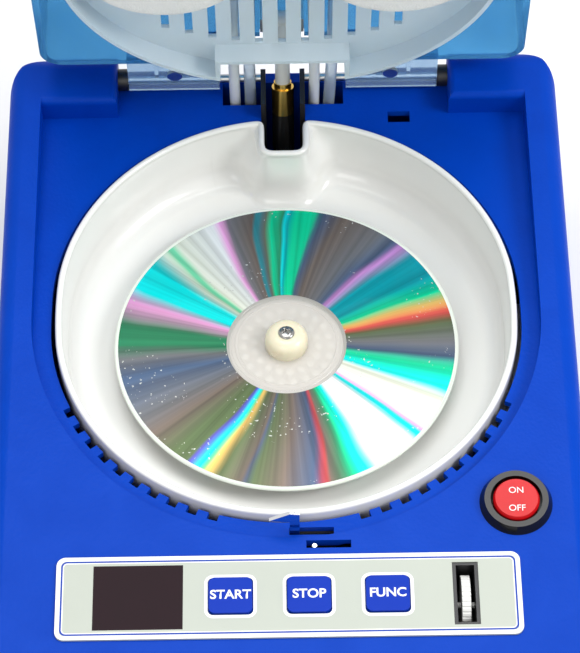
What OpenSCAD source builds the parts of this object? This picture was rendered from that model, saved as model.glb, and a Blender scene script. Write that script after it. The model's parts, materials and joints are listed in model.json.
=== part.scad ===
// Desktop disc repair machine: a lidded console with a spindle and a wash bowl.
// X runs to the right, Y to the hinge at the back, Z up from the table.
// The origin is on the spindle's axis, at the plane that the feet stand on.
// All sizes are millimetres.

/* [Case] */
// Width of the case beside the recess, at each side
side_land = 11.7; // [10:0.1:16]
// Depth of the case in front of the control panel
front_land = 14.5; // [12:0.5:24]
// Distance from the hinge axis to the back face
hinge_inset = 6; // [6:0.5:10]
// Radius of the case's upright corners
corner_r = 15; // [10:1:20]
// Radius of the rounded edge round the top
edge_r = 6; // [4:0.5:8]
// Wall of the plastic mouldings
wall = 2.5; // [2:0.25:3]
// Height of the recess floor above the table
floor_z = 70; // [68:1:80]
// Slope of the top face, rising to the back, in degrees
top_slope = 3; // [2:0.5:4]
// Depth of the recess at its front edge
front_lip = 1; // [0.5:0.25:2]
// Height of the lower tray's rim above the table
tray_z = 26; // [22:1:30]
// Height of the rubber feet
foot_h = 4; // [3:0.5:6]
// Radius of the rubber feet
foot_r = 8; // [6:0.5:10]

/* [Recess and bowl] */
// Width of the ledge from the bowl to the edge of the recess
recess_ledge = 7.8; // [7:0.1:9]
// Depth of the disc's upper face below the recess floor
disc_drop = 13.5; // [12:0.5:15]
// Distance from the disc's edge to the outside of the bowl
bowl_room = 19.5; // [18:0.5:22]
// Length of the straight stretch in the bowl's outline
bowl_stretch = 9; // [8:0.5:10]
// Wall of the bowl
bowl_wall = 1.6; // [1.2:0.2:2]
// Height of the bowl's rim above the recess floor
bowl_rim = 3; // [2:0.5:4]
// Depth of the bowl's floor below the disc
bowl_depth = 8; // [7:0.5:10]
// Radius between the bowl's wall and its floor
bowl_fillet = 6; // [4:0.5:7]
// Gap between the bowl and the hole in the recess floor
bowl_gap = 1.5; // [1:0.25:2]
// Number of teeth on each side of the bowl's hole
tooth_count = 10; // [4:1:12]
// Angle from one tooth to the next
tooth_pitch = 5.1; // [4:0.1:6]
// Angle from straight ahead to the first tooth
tooth_start = 17.7; // [12:0.1:24]
// Depth of the valleys between the teeth
tooth_depth = 2.5; // [1.5:0.25:3]

/* [Disc and spindle] */
// Diameter of the optical disc
disc_d = 120; // [118:0.5:120]
// Thickness of the disc
disc_t = 1.2; // [1.1:0.05:1.3]
// Diameter of the hole in the disc
disc_hole_d = 15; // [15:0.1:15.4]
// Radius of the turntable
turntable_r = 20; // [18:0.5:21]
// Thickness of the turntable
turntable_t = 3; // [2:0.5:4]
// Radius of one grip bead
bead_r = 1.45; // [1:0.05:1.7]
// Height of the grip beads
bead_h = 0.6; // [0.4:0.1:0.8]
// Radius of the outer ring of grip beads
outer_bead_ring = 15.2; // [14.8:0.1:16]
// Radius of the inner ring of grip beads
inner_bead_ring = 11; // [10.8:0.1:11.4]
// Number of beads in the outer ring
outer_beads = 22; // [16:1:26]
// Number of beads in the inner ring
inner_beads = 17; // [12:1:18]
// Height of the centre knob above the disc
knob_h = 7; // [5:0.5:8]
// Radius of the spindle shaft
shaft_r = 3; // [2.5:0.5:3.5]
// Radius of the knob's screw head
knob_screw_r = 2.8; // [2.4:0.1:3]

/* [Drive] */
// Distance from the spindle to the drive motor
motor_reach = 52; // [48:1:56]
// Radius of the drive motor
motor_r = 14; // [12:0.5:16]
// Height of the drive motor
motor_h = 22; // [20:1:24]
// Radius of the spindle's pulley
spindle_pulley_r = 16; // [14:0.5:18]
// Radius of the motor's pulley
motor_pulley_r = 5; // [4:0.5:6]
// Thickness of the drive belts
belt_t = 1.2; // [1:0.1:1.5]
// Width of the drive belts
belt_w = 4; // [3:0.5:5]

/* [Lid] */
// Depth of the lid shell
lid_h = 36; // [34:1:40]
// Wall of the lid shell
lid_wall = 2.5; // [2:0.25:3]
// Gap between the lid's rim and the recess
lid_gap = 0.8; // [0.6:0.1:1]
// Gap between the bowl and the back edge of the lid
lid_back_gap = 0.5; // [0.4:0.1:1]
// Angle at which the open lid rests
open_angle = 82; // [78:1:88]
// Distance from the back edge of the lid to the hinge axis
hinge_reach = 17; // [16.5:0.5:19]
// Height of the hinge axis above the recess floor
hinge_rise = 4.6; // [4.4:0.1:5]
// Radius of the hinge pin
pin_r = 1.5; // [1.25:0.25:1.75]
// Radius of the hinge tabs' barrels
barrel_r = 4; // [3.5:0.1:4.1]
// Inner end of each hinge tab, from the middle
tab_inner_x = 23; // [22.5:0.5:25]
// Outer end of each hinge tab, from the middle
tab_outer_x = 56; // [54:0.5:57]
// Inner face of each hinge block, from the middle
block_x = 60; // [60:0.5:64]
// Distance from the front of the hinge blocks to the hinge axis
block_depth = 15.5; // [13:0.5:15.5]

/* [Inner cover and pads] */
// Gap between the bowl and the frosted inner cover
cover_gap = 2.2; // [2.2:0.1:4]
// Wall of the inner cover
cover_wall = 1.6; // [1.2:0.2:2]
// Depth of the inner cover's skirt
cover_skirt = 9; // [8:0.5:9]
// Height of the inner cover's upper face above the disc
cover_plate_z = 9.8; // [9.6:0.1:12]
// Width of the notch at the inner cover's hinge side
cover_notch_w = 44; // [40:1:48]
// Number of vent slots in the inner cover
vent_count = 11; // [5:2:13]
// Distance from one vent slot to the next
vent_pitch = 8.1; // [7:0.1:9]
// Width of a vent slot
vent_w = 2.8; // [2:0.2:3.6]
// Length of the middle vent slot
vent_len = 30; // [20:1:32]
// Distance of each pad's centre from the middle line
pad_x = 39.5; // [38:0.5:41]
// Distance of the pads' centres behind the spindle
pad_y = 10.5; // [9:0.5:12]
// Radius of the polishing pads
pad_r = 29; // [27:0.5:30]
// Thickness of the felt of a pad
pad_t = 4; // [3:0.5:4]
// Gap between the pads and the disc when the lid is shut
pad_gap = 0.4; // [0.3:0.1:1]
// Radius of the pads' pulleys
pad_pulley_r = 12; // [10:0.5:14]

/* [Lid strut] */
// Distance from the strut's lower pivot to the hinge axis
strut_foot_back = 26; // [26:0.5:27]
// Height of the strut's lower pivot above the table
strut_foot_z = 11; // [10.5:0.5:12]
// Radius of the strut's tube
strut_r = 4; // [3.5:0.25:4]
// Radius of the strut's rod
rod_r = 2.7; // [2:0.1:2.8]
// Length of the strut from its pivot to the end of its gland
strut_len = 69; // [64:0.5:69]
// Length of the brass gland
gland_len = 12.5; // [8:0.5:16]
// Length of the strut's rod
rod_len = 58; // [50:1:58]
// Distance from the hinge axis to the strut's upper pivot, along the lid
strut_arm = 25; // [24.5:0.5:25.5]
// Height of the strut's upper pivot above the hinge axis with the lid shut
strut_lift = 9; // [8.5:0.5:10]

/* [Controls] */
// Width of the control panel's overlay
panel_w = 150; // [146:1:156]
// Depth of the control panel's overlay
panel_d = 29.6; // [28:0.2:32]
// Distance from the recess to the panel's overlay
panel_gap = 6.6; // [6:0.1:10]
// Thickness of the overlay
panel_t = 0.8; // [0.6:0.1:1]
// Width of the display window
display_w = 29; // [24:0.5:32]
// Depth of the display window
display_d = 23; // [20:0.5:25]
// Place of the display window across the panel
display_x = -49; // [-52:0.5:-46]
// Width of a key
key_w = 14; // [12:0.5:16]
// Depth of a key
key_d = 12.6; // [10:0.2:14]
// Distance from one key to the next
key_pitch = 25.3; // [22:0.1:28]
// Place of the middle key across the panel
key_x = 6.1; // [4:0.1:8]
// Travel of a key
key_travel = 0.4; // [0.3:0.05:0.6]
// Width of the speed dial's window
dial_w = 8.4; // [7:0.2:10]
// Depth of the speed dial's window
dial_d = 22.4; // [20:0.2:24]
// Place of the speed dial across the panel
dial_x = 56.6; // [54:0.1:60]
// Radius of the speed dial's wheel
dial_r = 10; // [9:0.5:10.5]
// Thickness of the speed dial's wheel
dial_t = 2.8; // [2:0.2:4]
// Distance from the side face to the power switch
switch_inset = 24.5; // [22:0.5:26]
// Distance from the spindle to the power switch
switch_reach = 75.7; // [75:0.5:80]
// Radius of the power switch's bezel
bezel_r = 12; // [11:0.5:12.5]
// Radius of the power switch's cap
cap_r = 7; // [6:0.25:7.5]
// Travel of the power switch's cap
cap_travel = 2.5; // [1.5:0.25:3]
// Travel of the lid lock
lock_travel = 9; // [6:0.5:9]
// Distance from the bowl to the lock's slot in the recess
lock_ledge = 4.8; // [4.5:0.1:5]
// Distance from the recess to the lock's slot in the top face
pin_ledge = 2.5; // [2.2:0.1:3.6]
// Width of the lock's slots
lock_slot_w = 2.8; // [2.4:0.1:3]

/* [Inside parts] */
// Length of the fluid tank
tank_l = 60; // [40:1:64]
// Width of the fluid tank
tank_w = 26; // [20:1:28]
// Height of the fluid tank
tank_h = 30; // [24:1:32]
// Radius of the white hoses
white_hose_r = 2; // [1.5:0.1:2]
// Radius of the clear hoses
clear_hose_r = 2.2; // [1.8:0.1:2.2]
// Distance from the hoses to the hinge axis
hose_ahead = 5.5; // [5:0.5:6]
// Height of the hoses' upper ends above the recess floor
hose_up = 56; // [30:1:60]
// Depth of the hoses' lower ends below the recess floor
hose_down = 22; // [16:1:26]
// Place of the left white hose
white_left_x = -17; // [-18:0.5:-16.5]
// Place of the right white hose
white_right_x = 11; // [10.5:0.1:11]
// Place of the left clear hose
clear_left_x = -11.4; // [-12:0.1:-11]
// Place of the right clear hose
clear_right_x = 15.7; // [15.5:0.1:16]

/* [Hidden] */

$fn = 64;
eps = 0.01;
run_gap = 0.05;
side_gap = 0.3;
bowl_r = disc_d / 2 + bowl_room;
recess_r = bowl_r + recess_ledge;
half_w = recess_r + side_land;
case_w = 2 * half_w;
lid_back = bowl_r + bowl_stretch + lid_back_gap;
hinge_y = lid_back + hinge_reach;
back_reach = hinge_y + hinge_inset;
block_y = hinge_y - block_depth;
panel_reach = recess_r + panel_gap + panel_d / 2;
front_reach = panel_reach + panel_d / 2 + front_land;
case_d = front_reach + back_reach;
disc_z = floor_z - disc_drop;
rim_z = floor_z + bowl_rim;
bowl_floor_z = disc_z - bowl_depth;
hinge_z = floor_z + hinge_rise;
tray_floor_z = foot_h + wall;
lock_slot_reach = bowl_r + lock_ledge;
pin_slot_reach = recess_r + pin_ledge;
switch_x = half_w - switch_inset;
strut_foot_y = hinge_y - strut_foot_back;
cover_r = bowl_r - bowl_wall - cover_gap;
// Room that the tilted side profile leaves before the front and back faces
tilt_room = 2;

// Height of the sloping top face at a distance behind the spindle
function top_z(y) = floor_z + front_lip + (y + recess_r) * tan(top_slope);

// Rounded rectangle about the middle
module rounded_rect(w, d, r) {
    square([w - 2 * r, d], center = true);
    square([w, d - 2 * r], center = true);
    for (x = [-1, 1], y = [-1, 1])
        translate([x * (w / 2 - r), y * (d / 2 - r)]) circle(r);
}

// Outline of the case seen from above, drawn in from its outer face
module case_plan(inset) {
    translate([0, (back_reach - front_reach) / 2])
        rounded_rect(case_w - 2 * inset, case_d - 2 * inset, corner_r - inset);
}

// Places children on the sloping top face, with Z square to the face
module on_top(x, y) {
    translate([x, y, top_z(y)]) rotate([top_slope, 0, 0]) children();
}

// Solid form of the case: plan, rounded sides and rounded front and back
module case_form(inset) {
    reach = 2 * case_d;
    tall = 2 * floor_z;
    radius = edge_r - inset;
    intersection() {
        linear_extrude(tall) case_plan(inset);
        on_top(0, 0)
            translate([0, reach / 2, -floor_z - inset]) rotate([90, 0, 0])
                linear_extrude(reach)
                    rounded_rect(case_w - 2 * inset, 2 * floor_z, radius);
        on_top(0, 0)
            translate([-reach / 2, (back_reach - front_reach) / 2, -floor_z - inset])
                rotate([90, 0, 90]) linear_extrude(reach)
                    rounded_rect(case_d + 2 * tilt_room - 2 * inset, 2 * floor_z, radius + tilt_room);
    }
}

// Stadium outline of the bowl's family: a circle drawn out to the back
module stadium(r) {
    circle(r, $fn = 128);
    translate([0, bowl_stretch]) circle(r, $fn = 128);
    translate([-r, 0]) square([2 * r, bowl_stretch]);
}

// Outline of the recess, without the space of the hinge blocks
module recess_plan(grow) {
    r = recess_r + grow;
    circle(r, $fn = 128);
    translate([-r, 0]) square([2 * r, back_reach + corner_r]);
}

// Hinge block with rounded upper edges, kept out of the recess
module hinge_block() {
    tall = floor_z + 2 * edge_r;
    round_r = 2.5;
    intersection() {
        on_top(0, 0)
            translate([0, back_reach * 2, 0]) rotate([90, 0, 0])
                linear_extrude(back_reach * 2)
                    translate([block_x + half_w / 2, -tall / 2])
                        rounded_rect(half_w, tall, round_r);
        on_top(0, 0)
            rotate([90, 0, 90])
                linear_extrude(half_w + 1)
                    translate([block_y + back_reach / 2 + 1, -tall / 2])
                        rounded_rect(back_reach, tall, round_r);
        translate([block_x, block_y, floor_z - wall])
            cube([half_w - block_x, back_reach, tall]);
    }
}

// Space above the recess floor
module recess_space() {
    difference() {
        translate([0, 0, floor_z]) linear_extrude(floor_z) recess_plan(0);
        hinge_block();
        mirror([1, 0, 0]) hinge_block();
    }
}

// Hole in the recess floor round the bowl, with its side teeth
module bowl_hole() {
    hole_r = bowl_r + bowl_gap;
    translate([0, 0, floor_z - 2 * wall]) linear_extrude(3 * wall) stadium(hole_r);
    for (side = [-1, 1], i = [0 : tooth_count - 1])
        rotate([0, 0, -90 + side * (tooth_start + i * tooth_pitch)])
            translate([hole_r - 1, -tooth_pitch * hole_r * PI / 720, floor_z - 2 * wall])
                cube([1 + tooth_depth, tooth_pitch * hole_r * PI / 360, 3 * wall]);
}

lock_x = 0;
lock_z = floor_z - wall;
hook_w = 3.6;
hook_t = 1.2;
hook_rise = 11;
hook_nose = 6.5;

// Slots in the recess and the top face for the lock and its pin
module lock_slots() {
    slot_len = lock_travel + hook_w + 2;
    translate([lock_x, -lock_slot_reach - lock_slot_w / 2, floor_z - 2 * wall])
        cube([slot_len, lock_slot_w, 4 * wall]);
    translate([lock_x + 5.5, -pin_slot_reach - lock_slot_w / 2, floor_z - 3 * wall])
        cube([slot_len, lock_slot_w, 6 * wall]);
}

strut_slot_x = 8;
strut_slot_front = bowl_r - 6;
hose_slot_front = hinge_y - 9;
hose_slot_back = hinge_y + 1.5;
hose_slot_x = 22;
spare_slot_x = 38;
spare_slot_w = 8;
spare_slot_d = 5;

// Openings in the recess floor for the strut and the hoses
module floor_openings() {
    low = floor_z - 2 * wall;
    translate([-strut_slot_x, strut_slot_front, low])
        cube([2 * strut_slot_x, hose_slot_back - strut_slot_front, 3 * wall]);
    translate([-hose_slot_x, hose_slot_front, low])
        cube([2 * hose_slot_x, hose_slot_back - hose_slot_front, 3 * wall]);
    translate([spare_slot_x, lid_back - 1, low]) cube([spare_slot_w, spare_slot_d, 3 * wall]);
}

switch_hole_r = bezel_r - 2.5;

// Openings in the top face for the controls
module control_openings() {
    deep = 4 * wall;
    on_top(switch_x, -switch_reach)
        translate([0, 0, -deep]) cylinder(r = switch_hole_r + 2 * run_gap, h = 2 * deep);
    on_top(display_x, -panel_reach)
        translate([0, 0, -deep]) linear_extrude(2 * deep)
            square([display_w - 2, display_d - 2], center = true);
    for (i = [-1 : 1])
        on_top(key_x + i * key_pitch, -panel_reach)
            translate([0, 0, -deep]) linear_extrude(2 * deep)
                square([key_w - 2, key_d - 2], center = true);
    on_top(dial_x, -panel_reach)
        translate([0, 0, -deep]) linear_extrude(2 * deep)
            square([dial_w, dial_d], center = true);
}

boss_r = 5;
boss_places = [for (x = [-1, 1], y = [-front_reach + 22, back_reach - 30])
    [x * (half_w - 12), y]];
boss_hole_h = 16;
screw_r = 1.5;

// Upper moulding with the recess, the hinge blocks and the screw bosses
module top_case() {
    color([0.02, 0.18, 0.75])
    difference() {
        union() {
            difference() {
                case_form(0);
                case_form(wall);
                translate([-case_w, -case_d, -eps]) cube([2 * case_w, 2 * case_d, tray_z + eps]);
            }
            intersection() {
                case_form(0);
                translate([0, 0, floor_z - wall]) linear_extrude(floor_z)
                    recess_plan(wall);
            }
            for (p = boss_places)
                intersection() {
                    case_form(wall / 2);
                    translate([p[0], p[1], tray_z]) cylinder(r = boss_r, h = floor_z);
                }
        }
        recess_space();
        bowl_hole();
        lock_slots();
        floor_openings();
        control_openings();
        translate([-block_x - 8, hinge_y, hinge_z]) rotate([0, 90, 0])
            cylinder(r = pin_r + run_gap, h = 2 * block_x + 16);
        for (p = boss_places)
            translate([p[0], p[1], tray_z - 1]) cylinder(r = screw_r, h = boss_hole_h);
    }
}

inlet_x = -60;
inlet_w = 14;
inlet_h = 11;
inlet_z = 16;

// Lower moulding that stands on the feet and carries the chassis
module base_tray() {
    color([0.02, 0.15, 0.62])
    difference() {
        union() {
            difference() {
                translate([0, 0, foot_h]) linear_extrude(tray_z - foot_h) case_plan(0);
                translate([0, 0, tray_floor_z]) linear_extrude(tray_z) case_plan(wall);
            }
            for (p = boss_places)
                translate([p[0], p[1], foot_h]) cylinder(r = boss_r, h = tray_z - foot_h);
            for (p = chassis_places)
                translate([p[0], p[1], foot_h]) cylinder(r = boss_r, h = chassis_z - foot_h);
        }
        for (p = boss_places) {
            translate([p[0], p[1], 0]) cylinder(r = screw_r + 0.3, h = tray_z + 1);
            translate([p[0], p[1], 0]) cylinder(r = screw_r + 1.8, h = foot_h + 4);
        }
        for (p = chassis_places)
            translate([p[0], p[1], chassis_z - 10]) cylinder(r = screw_r, h = 11);
        translate([inlet_x - inlet_w / 2, back_reach - wall - 1, inlet_z - inlet_h / 2])
            cube([inlet_w, wall + 2, inlet_h]);
    }
}

foot_places = [for (x = [-1, 1], y = [-front_reach + 30, back_reach - 24])
    [x * (half_w - 26), y]];

// Four rubber feet
module rubber_feet() {
    color([0.08, 0.08, 0.08])
    for (p = foot_places)
        translate([p[0], p[1], 0]) cylinder(r = foot_r, h = foot_h);
}

// Four screws that hold the two mouldings together
module case_screws() {
    color([0.7, 0.7, 0.72])
    for (p = boss_places)
        translate([p[0], p[1], foot_h + 1.5]) {
            difference() {
                cylinder(r = screw_r + 1.5, h = 2.5);
                translate([-2, -0.4, -eps]) cube([4, 0.8, 1]);
                translate([-0.4, -2, -eps]) cube([0.8, 4, 1]);
            }
            cylinder(r = screw_r, h = tray_z - foot_h + boss_hole_h / 2);
        }
}

chassis_z = 16;
chassis_t = 1.5;
chassis_w = 2 * motor_reach + 16;
chassis_front = -58;
chassis_back = strut_foot_y + 4;
chassis_places = [for (x = [-1, 1], y = [chassis_front + 8, chassis_back - 8])
    [x * (chassis_w / 2 - 8), y]];
housing_r = 11;
bearing_r = 8;
bearing_t = 5;
housing_low = chassis_z + chassis_t;
housing_high = bowl_floor_z - bowl_wall;

// Steel plate that carries the spindle, the motor and the strut
module chassis_plate() {
    color([0.75, 0.76, 0.78])
    difference() {
        translate([-chassis_w / 2, chassis_front, chassis_z])
            cube([chassis_w, chassis_back - chassis_front, chassis_t]);
        translate([0, 0, chassis_z - 1]) cylinder(r = bearing_r + 1, h = chassis_t + 2);
        translate([-motor_reach, 0, chassis_z - 1])
            cylinder(r = motor_r + side_gap, h = chassis_t + 2);
        for (p = chassis_places)
            translate([p[0], p[1], chassis_z - 1]) cylinder(r = screw_r + 0.3, h = chassis_t + 2);
        translate([-strut_slot_x, strut_foot_y - 10, chassis_z - 1])
            cube([2 * strut_slot_x, chassis_back - strut_foot_y + 11, chassis_t + 2]);
    }
}

// Four screws that hold the chassis plate
module chassis_screws() {
    color([0.7, 0.7, 0.72])
    for (p = chassis_places)
        translate([p[0], p[1], 0]) {
            translate([0, 0, chassis_z + chassis_t]) cylinder(r = screw_r + 1.3, h = 1.8);
            translate([0, 0, chassis_z - 8]) cylinder(r = screw_r, h = 8 + chassis_t);
        }
}

// Bearing housing that stands on the chassis under the bowl
module spindle_housing() {
    color([0.62, 0.63, 0.65])
    difference() {
        union() {
            translate([0, 0, housing_low]) cylinder(r = housing_r, h = housing_high - housing_low);
            translate([0, 0, housing_high - 6]) cylinder(r = housing_r + 8, h = 6);
        }
        translate([0, 0, housing_low - 1]) cylinder(r = shaft_r + 1, h = floor_z);
        translate([0, 0, housing_low - eps]) cylinder(r = bearing_r, h = bearing_t + eps);
        translate([0, 0, housing_high - bearing_t]) cylinder(r = bearing_r, h = bearing_t + eps);
    }
}

// Two ball bearings in the housing
module spindle_bearings() {
    color([0.8, 0.8, 0.82])
    for (z = [housing_low, housing_high - bearing_t])
        translate([0, 0, z]) difference() {
            cylinder(r = bearing_r, h = bearing_t);
            translate([0, 0, -1]) cylinder(r = shaft_r + run_gap, h = bearing_t + 2);
        }
}

seal_r = 9;
seal_h = 2;

// Rubber seal that keeps the fluid in the bowl
module shaft_seal() {
    color([0.1, 0.1, 0.1])
    translate([0, 0, bowl_floor_z]) difference() {
        cylinder(r = seal_r, h = seal_h);
        translate([0, 0, -1]) cylinder(r = shaft_r + run_gap, h = seal_h + 2);
    }
}

pocket_x = 6.9;
pocket_wall = 1.6;
bump_x = 12;
bump_top_y = bowl_r - 5.8;
bump_low_y = bump_top_y - 2.2;

// Half section of the bowl, from its middle to its outer face
module bowl_section(r, low) {
    fillet = bowl_fillet + (bowl_r - r);
    difference() {
        translate([0, low]) square([r, rim_z - low]);
        difference() {
            translate([r - fillet, low - 1]) square([fillet + 1, fillet + 1]);
            translate([r - fillet, low + fillet]) circle(fillet);
        }
    }
}

// Solid body of revolution drawn out to the bowl's stadium outline
module bowl_solid(r, low) {
    rotate_extrude($fn = 128) bowl_section(r, low);
    translate([0, bowl_stretch, 0]) rotate_extrude($fn = 128) bowl_section(r, low);
    translate([0, bowl_stretch, 0]) rotate([90, 0, 0]) linear_extrude(bowl_stretch) {
        bowl_section(r, low);
        mirror([1, 0]) bowl_section(r, low);
    }
}

// Side view of the strut's pocket at the back of the bowl
module pocket_side(forward, low, high) {
    polygon([
        [bump_top_y - forward, high],
        [bump_low_y - forward, low],
        [bowl_r + bowl_stretch + 5, low],
        [bowl_r + bowl_stretch + 5, high]
    ]);
}

// White wash bowl with the strut's pocket in its back wall
module bowl() {
    color([0.95, 0.95, 0.93])
    difference() {
        union() {
            difference() {
                bowl_solid(bowl_r, bowl_floor_z - bowl_wall);
                bowl_solid(bowl_r - bowl_wall, bowl_floor_z);
            }
            intersection() {
                bowl_solid(bowl_r, bowl_floor_z - bowl_wall);
                translate([-bump_x, 0, 0]) rotate([90, 0, 90]) linear_extrude(2 * bump_x)
                    pocket_side(pocket_wall, bowl_floor_z - bowl_wall, rim_z);
            }
        }
        translate([-pocket_x, 0, 0]) rotate([90, 0, 90]) linear_extrude(2 * pocket_x)
            pocket_side(0, bowl_floor_z - bowl_wall - 1, rim_z + 1);
        translate([0, 0, bowl_floor_z - 2 * bowl_wall])
            cylinder(r = shaft_r + 1, h = 4 * bowl_wall);
    }
}

// Spindle shaft in its two bearings
module spindle_shaft() {
    color([0.8, 0.8, 0.82])
    translate([0, 0, tray_floor_z + 2])
        cylinder(r = shaft_r, h = turntable_low - tray_floor_z - 2);
}

turntable_high = disc_z - disc_t - bead_h;
turntable_low = turntable_high - turntable_t;

// Turntable that carries the disc on its beads
module turntable() {
    color([0.93, 0.93, 0.9])
    translate([0, 0, turntable_low]) difference() {
        cylinder(r = turntable_r, h = turntable_t);
        translate([0, 0, -1]) cylinder(r = screw_r, h = turntable_t + 2);
    }
}

// Two rings of soft grip beads on the turntable
module grip_beads() {
    color([1, 1, 1])
    for (ring = [[outer_bead_ring, outer_beads], [inner_bead_ring, inner_beads]])
        for (i = [0 : ring[1] - 1])
            rotate([0, 0, i * 360 / ring[1]]) translate([ring[0], 0, turntable_high])
                cylinder(r = bead_r, h = bead_h, $fn = 24);
}

knob_r = disc_hole_d / 2 - run_gap;

// Domed knob that centres the disc
module centre_knob() {
    color([0.93, 0.9, 0.78])
    difference() {
        union() {
            translate([0, 0, turntable_high])
                cylinder(r = knob_r, h = disc_z - turntable_high + knob_h - 3);
            translate([0, 0, disc_z + knob_h - 3]) intersection() {
                cylinder(r = knob_r, h = 3);
                translate([0, 0, 3 - 1.35 * knob_r]) sphere(r = 1.35 * knob_r);
            }
        }
        translate([0, 0, disc_z + knob_h - 1.2]) cylinder(r = knob_screw_r + run_gap, h = 5);
        translate([0, 0, turntable_high - 1]) cylinder(r = screw_r, h = knob_h + disc_t + 2);
    }
}

// Cross-head screw in the knob
module knob_screw() {
    color([0.7, 0.7, 0.7])
    difference() {
        union() {
            translate([0, 0, disc_z + knob_h - 1.2]) cylinder(r = knob_screw_r, h = 1.6);
            translate([0, 0, turntable_low])
                cylinder(r = screw_r, h = disc_z + knob_h - 1.2 - turntable_low);
        }
        translate([-1.7, -0.35, disc_z + knob_h - 0.3]) cube([3.4, 0.7, 2]);
        translate([-0.35, -1.7, disc_z + knob_h - 0.3]) cube([0.7, 3.4, 2]);
    }
}

// Optical disc on the turntable
module optical_disc() {
    color([0.7, 0.85, 0.8])
    translate([0, 0, disc_z - disc_t]) difference() {
        cylinder(r = disc_d / 2, h = disc_t, $fn = 128);
        translate([0, 0, -1]) cylinder(r = disc_hole_d / 2, h = disc_t + 2);
    }
}

pulley_z = tray_floor_z + 3;

// Drive pulley on the lower end of the spindle
module spindle_pulley() {
    color([0.15, 0.15, 0.16])
    translate([0, 0, pulley_z]) difference() {
        union() {
            cylinder(r = spindle_pulley_r, h = belt_w);
            translate([0, 0, -0.8]) cylinder(r = spindle_pulley_r + 1.5, h = 0.8);
        }
        translate([0, 0, -2]) cylinder(r = shaft_r, h = belt_w + 4);
    }
}

// Drive motor that hangs in the chassis plate
module drive_motor() {
    color([0.7, 0.7, 0.72])
    translate([-motor_reach, 0, chassis_z]) difference() {
        union() {
            cylinder(r = motor_r, h = motor_h);
            translate([0, 0, chassis_t]) cylinder(r = motor_r + 3, h = 1.5);
        }
        translate([0, 0, -1]) cylinder(r = 1 + run_gap, h = 12);
    }
}

// Pulley and shaft of the drive motor
module motor_pulley() {
    color([0.85, 0.75, 0.4])
    translate([-motor_reach, 0, 0]) {
        translate([0, 0, pulley_z]) cylinder(r = motor_pulley_r, h = belt_w);
        translate([0, 0, pulley_z - 0.8]) cylinder(r = motor_pulley_r + 1.5, h = 0.8);
        translate([0, 0, pulley_z]) cylinder(r = 1, h = chassis_z + 10 - pulley_z);
    }
}

// Area inside the belt from the motor to the spindle
module drive_belt_area(grow) {
    hull() {
        circle(spindle_pulley_r + run_gap + grow);
        translate([-motor_reach, 0]) circle(motor_pulley_r + run_gap + grow);
    }
}

// Belt from the motor to the spindle
module drive_belt() {
    color([0.05, 0.05, 0.05])
    translate([0, 0, pulley_z + side_gap]) linear_extrude(belt_w - 2 * side_gap)
        difference() {
            drive_belt_area(belt_t);
            drive_belt_area(0);
        }
}

board_d = 26;
board_t = 1.6;
board_drop = 11;
board_rim = 6;
board_left = display_x - display_w / 2 - board_rim;
board_right = dial_x - dial_w / 2 - 2;

// Circuit board under the control panel, beside the dial
module control_board() {
    color([0.05, 0.35, 0.15])
    on_top(0, -panel_reach)
        translate([board_left, -board_d / 2, -board_drop - board_t])
            cube([board_right - board_left, board_d, board_t]);
}

// Digit display module on the board
module display_module() {
    color([0.12, 0.12, 0.12])
    on_top(display_x, -panel_reach)
        translate([-display_w / 2 + 2, -display_d / 2 + 2, -board_drop])
            cube([display_w - 4, display_d - 4, board_drop - wall - 0.3]);
}

// Smoked window over the display
module display_window() {
    color([0.12, 0.03, 0.05])
    on_top(display_x, -panel_reach)
        translate([-display_w / 2, -display_d / 2, 0]) cube([display_w, display_d, panel_t]);
}

panel_x = -0.5;
panel_corner_r = 3;

// Printed overlay with its openings
module panel_overlay() {
    color([0.88, 0.9, 0.85])
    on_top(panel_x, -panel_reach) linear_extrude(panel_t) difference() {
        rounded_rect(panel_w, panel_d, panel_corner_r);
        translate([display_x - panel_x, 0]) square([display_w, display_d], center = true);
        for (i = [-1 : 1])
            translate([key_x - panel_x + i * key_pitch, 0])
                square([key_w + 2 * side_gap, key_d + 2 * side_gap], center = true);
        translate([dial_x - panel_x, 0]) square([dial_w, dial_d], center = true);
    }
}

plunger_r = 1.75;
plunger_low = -6;

// Three tactile switches on the board
module key_switches() {
    color([0.1, 0.1, 0.1])
    for (i = [-1 : 1])
        on_top(key_x + i * key_pitch, -panel_reach)
            translate([-3, -3, -board_drop])
                cube([6, 6, board_drop + plunger_low - key_travel - 0.1]);
}

// Key cap with its plunger
module key_cap(i) {
    on_top(key_x + i * key_pitch, -panel_reach) {
        translate([0, 0, side_gap + key_travel]) linear_extrude(0.8 + key_travel)
            rounded_rect(key_w, key_d, 2);
        translate([0, 0, plunger_low]) cylinder(r = plunger_r, h = 1 - plunger_low);
    }
}

module start_key() { color([0.05, 0.22, 0.75]) key_cap(-1); }
module stop_key() { color([0.05, 0.22, 0.75]) key_cap(0); }
module func_key() { color([0.05, 0.22, 0.75]) key_cap(1); }

dial_sink = 8.2;
dial_axle_r = 1;

// Housing of the speed dial under the overlay
module dial_housing() {
    color([0.03, 0.03, 0.03])
    on_top(dial_x, -panel_reach) difference() {
        translate([-dial_w / 2, -dial_d / 2, -dial_sink - dial_r - 2])
            cube([dial_w, dial_d, dial_sink + dial_r + 2 + panel_t / 2]);
        translate([-dial_w / 2 + 1.2, -dial_d / 2 + 1, -dial_sink - dial_r - 0.5])
            cube([dial_w - 2.4, dial_d - 2, dial_sink + dial_r + 5]);
        translate([-dial_w, 0, -dial_sink]) rotate([0, 90, 0])
            cylinder(r = dial_axle_r + run_gap, h = 2 * dial_w);
    }
}

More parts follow.
